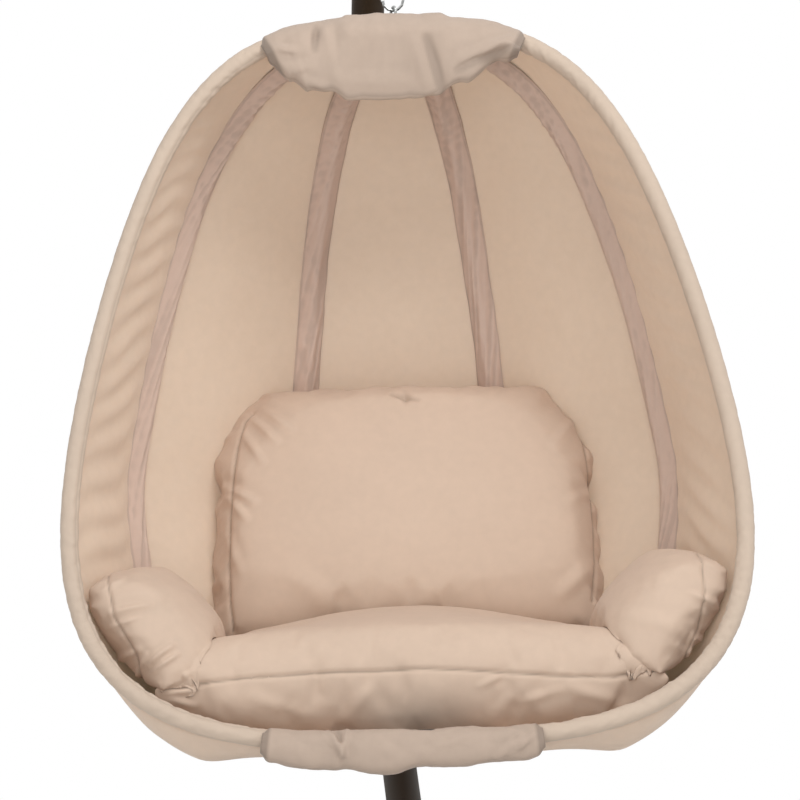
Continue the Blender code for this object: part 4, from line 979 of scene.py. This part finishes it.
for side in ("left", "right"):
    node = "arm_pillow_" + side
    bm = stuffed(node, voxel=0.005, rounds=14, grow=(1.11, 1.0, 1.10), shift=ARM_SHIFT[side],
                 spare=0.06, most=0.024, walls=INSIDE + ["stuffed_seat", "stuffed_back"])
    press_folds(bm, ARM_FOLDS[side], ARM_DEEPEST)
    sew(bm, ARM_SEAMS[side], ARM_DEEPEST, depth=0.0030, width=0.0030)
    lay_weave(bm)
    pillow = add_piece("stuffed_arm_" + side, bm, CANVAS, "chair", [node], sharp=180)

# %% [markdown]
# ## Pads on the rim
# Two pads are folded round the rim: a thick one at the top for the head, and a thin one in front, under the
# knees. Each is a section, drawn as a closed smooth line, carried along the rim and gathered at its ends.
# Beside the hub the head pad's section changes into a hook that goes over the rim.

# %% A pad round the rim
HUGS = 0.02


def closed_line(points, share):
    """A point on the smooth closed line through a few corners."""
    count = len(points)
    at = share * count
    index = int(at)
    t = at - index
    a, b, c, d = [Vector(points[(index + step) % count]) for step in (-1, 0, 1, 2)]
    return 0.5 * (2 * b + (c - a) * t + (2 * a - 5 * b + 4 * c - d) * t * t
                  + (3 * b - a - 3 * c + d) * t ** 3)


def through(stations, value):
    """A smooth step from station to station."""
    for (low, first), (high, second) in zip(stations, stations[1:]):
        if value <= high:
            return first + (second - first) * smooth(low, high, value)
    return stations[-1][1]


def rim_across(across, bottom):
    """A point on the rim that far from its middle, with its outward vector."""
    along = along_at(max(0.02, abs(across)), bottom)
    point, out, sideways = bow_frame(90.0, along)
    share = min(1.0, abs(across) / 0.09)
    out = Vector((out.x * math.copysign(1, across) * share, 0, out.z)).normalized()
    return Vector((across, 0, point.z)), out


def pad_place(sections, low, high, bottom, reach, folds, seed):
    """Carry a pad's section along the rim; past `HUGS`, `reach` scales how far it hangs away from it."""
    def carry(around, along):
        across = low + (high - low) * along
        point, out = rim_across(across, bottom)
        share = smooth(0.075, 0.115, abs(across))
        over_hub, over_rim = [closed_line(section, around % 1.0) for section in sections]
        back, outwards = over_hub.lerp(over_rim, share)
        hang = through(reach, across)
        if abs(outwards) > HUGS and (outwards < 0) != bottom:
            outwards = math.copysign(HUGS + (abs(outwards) - HUGS) * hang, outwards)
        end = abs(2 * along - 1)
        tuck = 1 - 0.35 * smooth(0.93, 1.0, end) ** 2
        middle = (-0.020, 0.010 if bottom else -0.020)
        back = middle[0] + (back - middle[0]) * tuck
        outwards = middle[1] + (outwards - middle[1]) * tuck
        place = point + Y * back + out * outwards
        flow = Vector((0, back - middle[0], 0)) + out * (outwards - middle[1])
        ring = Vector((math.cos(2 * math.pi * around), math.sin(2 * math.pi * around)))
        rise = 0.0030 * ripple(across * 28, ring.x, ring.y + seed)
        rise += 0.0010 * ripple(across * 80, 2 * ring.x, 2 * ring.y + seed)
        rise += 0.0022 * ripple(across * 70, ring.x, ring.y + seed + 5) * smooth(0.6, 1.0, end)
        if back < -0.012:
            rise += fold_rise(Vector((place.x, place.z)), folds)
        return place + flow.normalized() * rise
    return carry


def pad_sewn(hem):
    def sewn(around, along):
        end = min(along, 1 - along)
        tape = 0.80 * (1 - smooth(0.022, 0.027, end)) + 0.3 * bell(end - 0.027, 0.003)
        return min(1.0, tape + 0.7 * bell(around - hem, 0.006))
    return sewn


def add_pad(name, node, rows, size, place, hem, folds):
    bm = cut_panel(96, rows, size, place, tube=True, sewn=pad_sewn(hem))
    # Painted shade in the pad's fold creases is added to the seam and tape value.
    layer = bm.verts.layers.float["seam_and_crease_shade"]
    for vert in bm.verts:
        spot = CHAIR.inverted() @ vert.co
        vert[layer] = max(vert[layer], min(0.5, -120 * fold_rise(Vector((spot.x, spot.z)), folds)))
    close_ends(bm)
    pad = add_piece(name, bm, PAD_PAINTED_SHADE, "chair", [node], sharp=180)


print("pad maker ready")

# %% [markdown]
# The head pad hangs over the top of the rim and hides the hub. It could be blown up as the cushions are, but
# its shape comes from being folded over a tube, so two drawn sections, one over the hub and one over the bare
# rim, give it directly. A corner of a section is a place behind the rim's line and a place outside it.

# %% Head pad
OVER_HUB = [(-0.0165, -0.016), (-0.0165, 0.004), (-0.0166, 0.0158), (-0.0195, 0.0172), (-0.029, 0.010),
            (-0.042, -0.006), (-0.049, -0.024), (-0.043, -0.050), (-0.033, -0.080), (-0.022, -0.106),
            (-0.011, -0.122), (0.000, -0.116), (0.003, -0.090), (-0.001, -0.060), (-0.009, -0.038),
            (-0.015, -0.024)]
OVER_RIM = [(-0.0162, -0.008), (-0.006, 0.0140), (0.0165, 0.003), (0.0195, 0.004), (0.000, 0.0180),
            (-0.019, 0.0100), (-0.034, -0.010), (-0.041, -0.036), (-0.039, -0.066), (-0.031, -0.098),
            (-0.018, -0.118), (-0.004, -0.108), (0.001, -0.084), (-0.002, -0.058), (-0.010, -0.036),
            (-0.0155, -0.022)]
HEAD_ENDS = (-0.219, 0.215)
HEAD_REACH = [(-0.222, 0.25), (-0.198, 0.55), (-0.171, 0.86), (-0.124, 0.92), (-0.088, 1.06), (0.028, 1.06),
              (0.066, 1.0), (0.130, 0.82), (0.194, 0.30), (0.215, 0.20)]
HEAD_FOLDS = [((-0.195, -0.046), (-0.160, -0.054), 0.008, 0.006),
              ((-0.128, -0.008), (-0.131, -0.050), 0.007, -0.007),
              ((-0.112, -0.010), (-0.108, -0.060), 0.010, 0.005),
              ((0.052, -0.040), (0.078, -0.122), 0.010, -0.007),
              ((0.036, -0.050), (0.052, -0.118), 0.012, 0.005),
              ((0.100, -0.090), (0.205, -0.046), 0.007, -0.006),
              ((0.110, -0.070), (0.190, -0.038), 0.009, 0.005),
              ((-0.185, -0.085), (-0.140, -0.078), 0.010, 0.005),
              ((-0.090, -0.100), (0.020, -0.104), 0.012, 0.003),
              ((-0.150, -0.100), (-0.110, -0.112), 0.007, 0.004)]
carry = pad_place((OVER_HUB, OVER_RIM), *HEAD_ENDS, False, HEAD_REACH, HEAD_FOLDS, seed=4.4)
add_pad("stuffed_head_pad", "head_pad", 150, (0.34, 0.43), carry, hem=0.60, folds=HEAD_FOLDS)

# %% [markdown]
# The front pad wraps the lowest part of the rim, in front of the lower hub. It is made in the same way. It is
# thin, so its section stays close to the tube, and a few sharp puckers show where its cloth is gathered.

# %% Front pad
UNDER_HUB = [(-0.006, -0.0170), (-0.0165, -0.012), (-0.0165, 0.012), (-0.006, 0.0192), (0.026, 0.0196),
             (0.040, 0.024), (0.028, 0.034), (0.004, 0.042), (-0.017, 0.039), (-0.026, 0.022),
             (-0.0265, 0.002), (-0.022, -0.0120), (-0.013, -0.0180)]
UNDER_RIM = [(-0.002, -0.0150), (-0.0155, -0.006), (-0.0150, 0.010), (-0.004, 0.0165), (0.016, 0.0180),
             (0.030, 0.022), (0.022, 0.032), (0.002, 0.039), (-0.016, 0.036), (-0.024, 0.019),
             (-0.0245, 0.000), (-0.0195, -0.0110), (-0.010, -0.0166)]
FRONT_ENDS = (-0.236, 0.200)
FRONT_REACH = [(-0.240, 0.6), (-0.216, 0.9), (-0.160, 1.25), (-0.100, 1.15), (-0.044, 1.35), (0.010, 0.95),
               (0.100, 0.95), (0.173, 0.95), (0.205, 0.5)]
FRONT_FOLDS = [((-0.134, -1.166), (-0.108, -1.200), 0.006, 0.007),
               ((-0.104, -1.166), (-0.120, -1.214), 0.006, 0.006),
               ((-0.118, -1.164), (-0.114, -1.185), 0.005, -0.006),
               ((0.126, -1.212), (0.166, -1.178), 0.006, 0.006),
               ((0.146, -1.206), (0.188, -1.174), 0.006, 0.006),
               ((0.040, -1.190), (0.090, -1.175), 0.008, 0.003),
               ((-0.210, -1.172), (-0.160, -1.212), 0.012, 0.003),
               ((-0.060, -1.185), (-0.020, -1.215), 0.012, 0.003)]
carry = pad_place((UNDER_HUB, UNDER_RIM), *FRONT_ENDS, True, FRONT_REACH, FRONT_FOLDS, seed=7.9)
add_pad("stuffed_front_pad", "front_pad", 150, (0.22, 0.44), carry, hem=0.45, folds=FRONT_FOLDS)
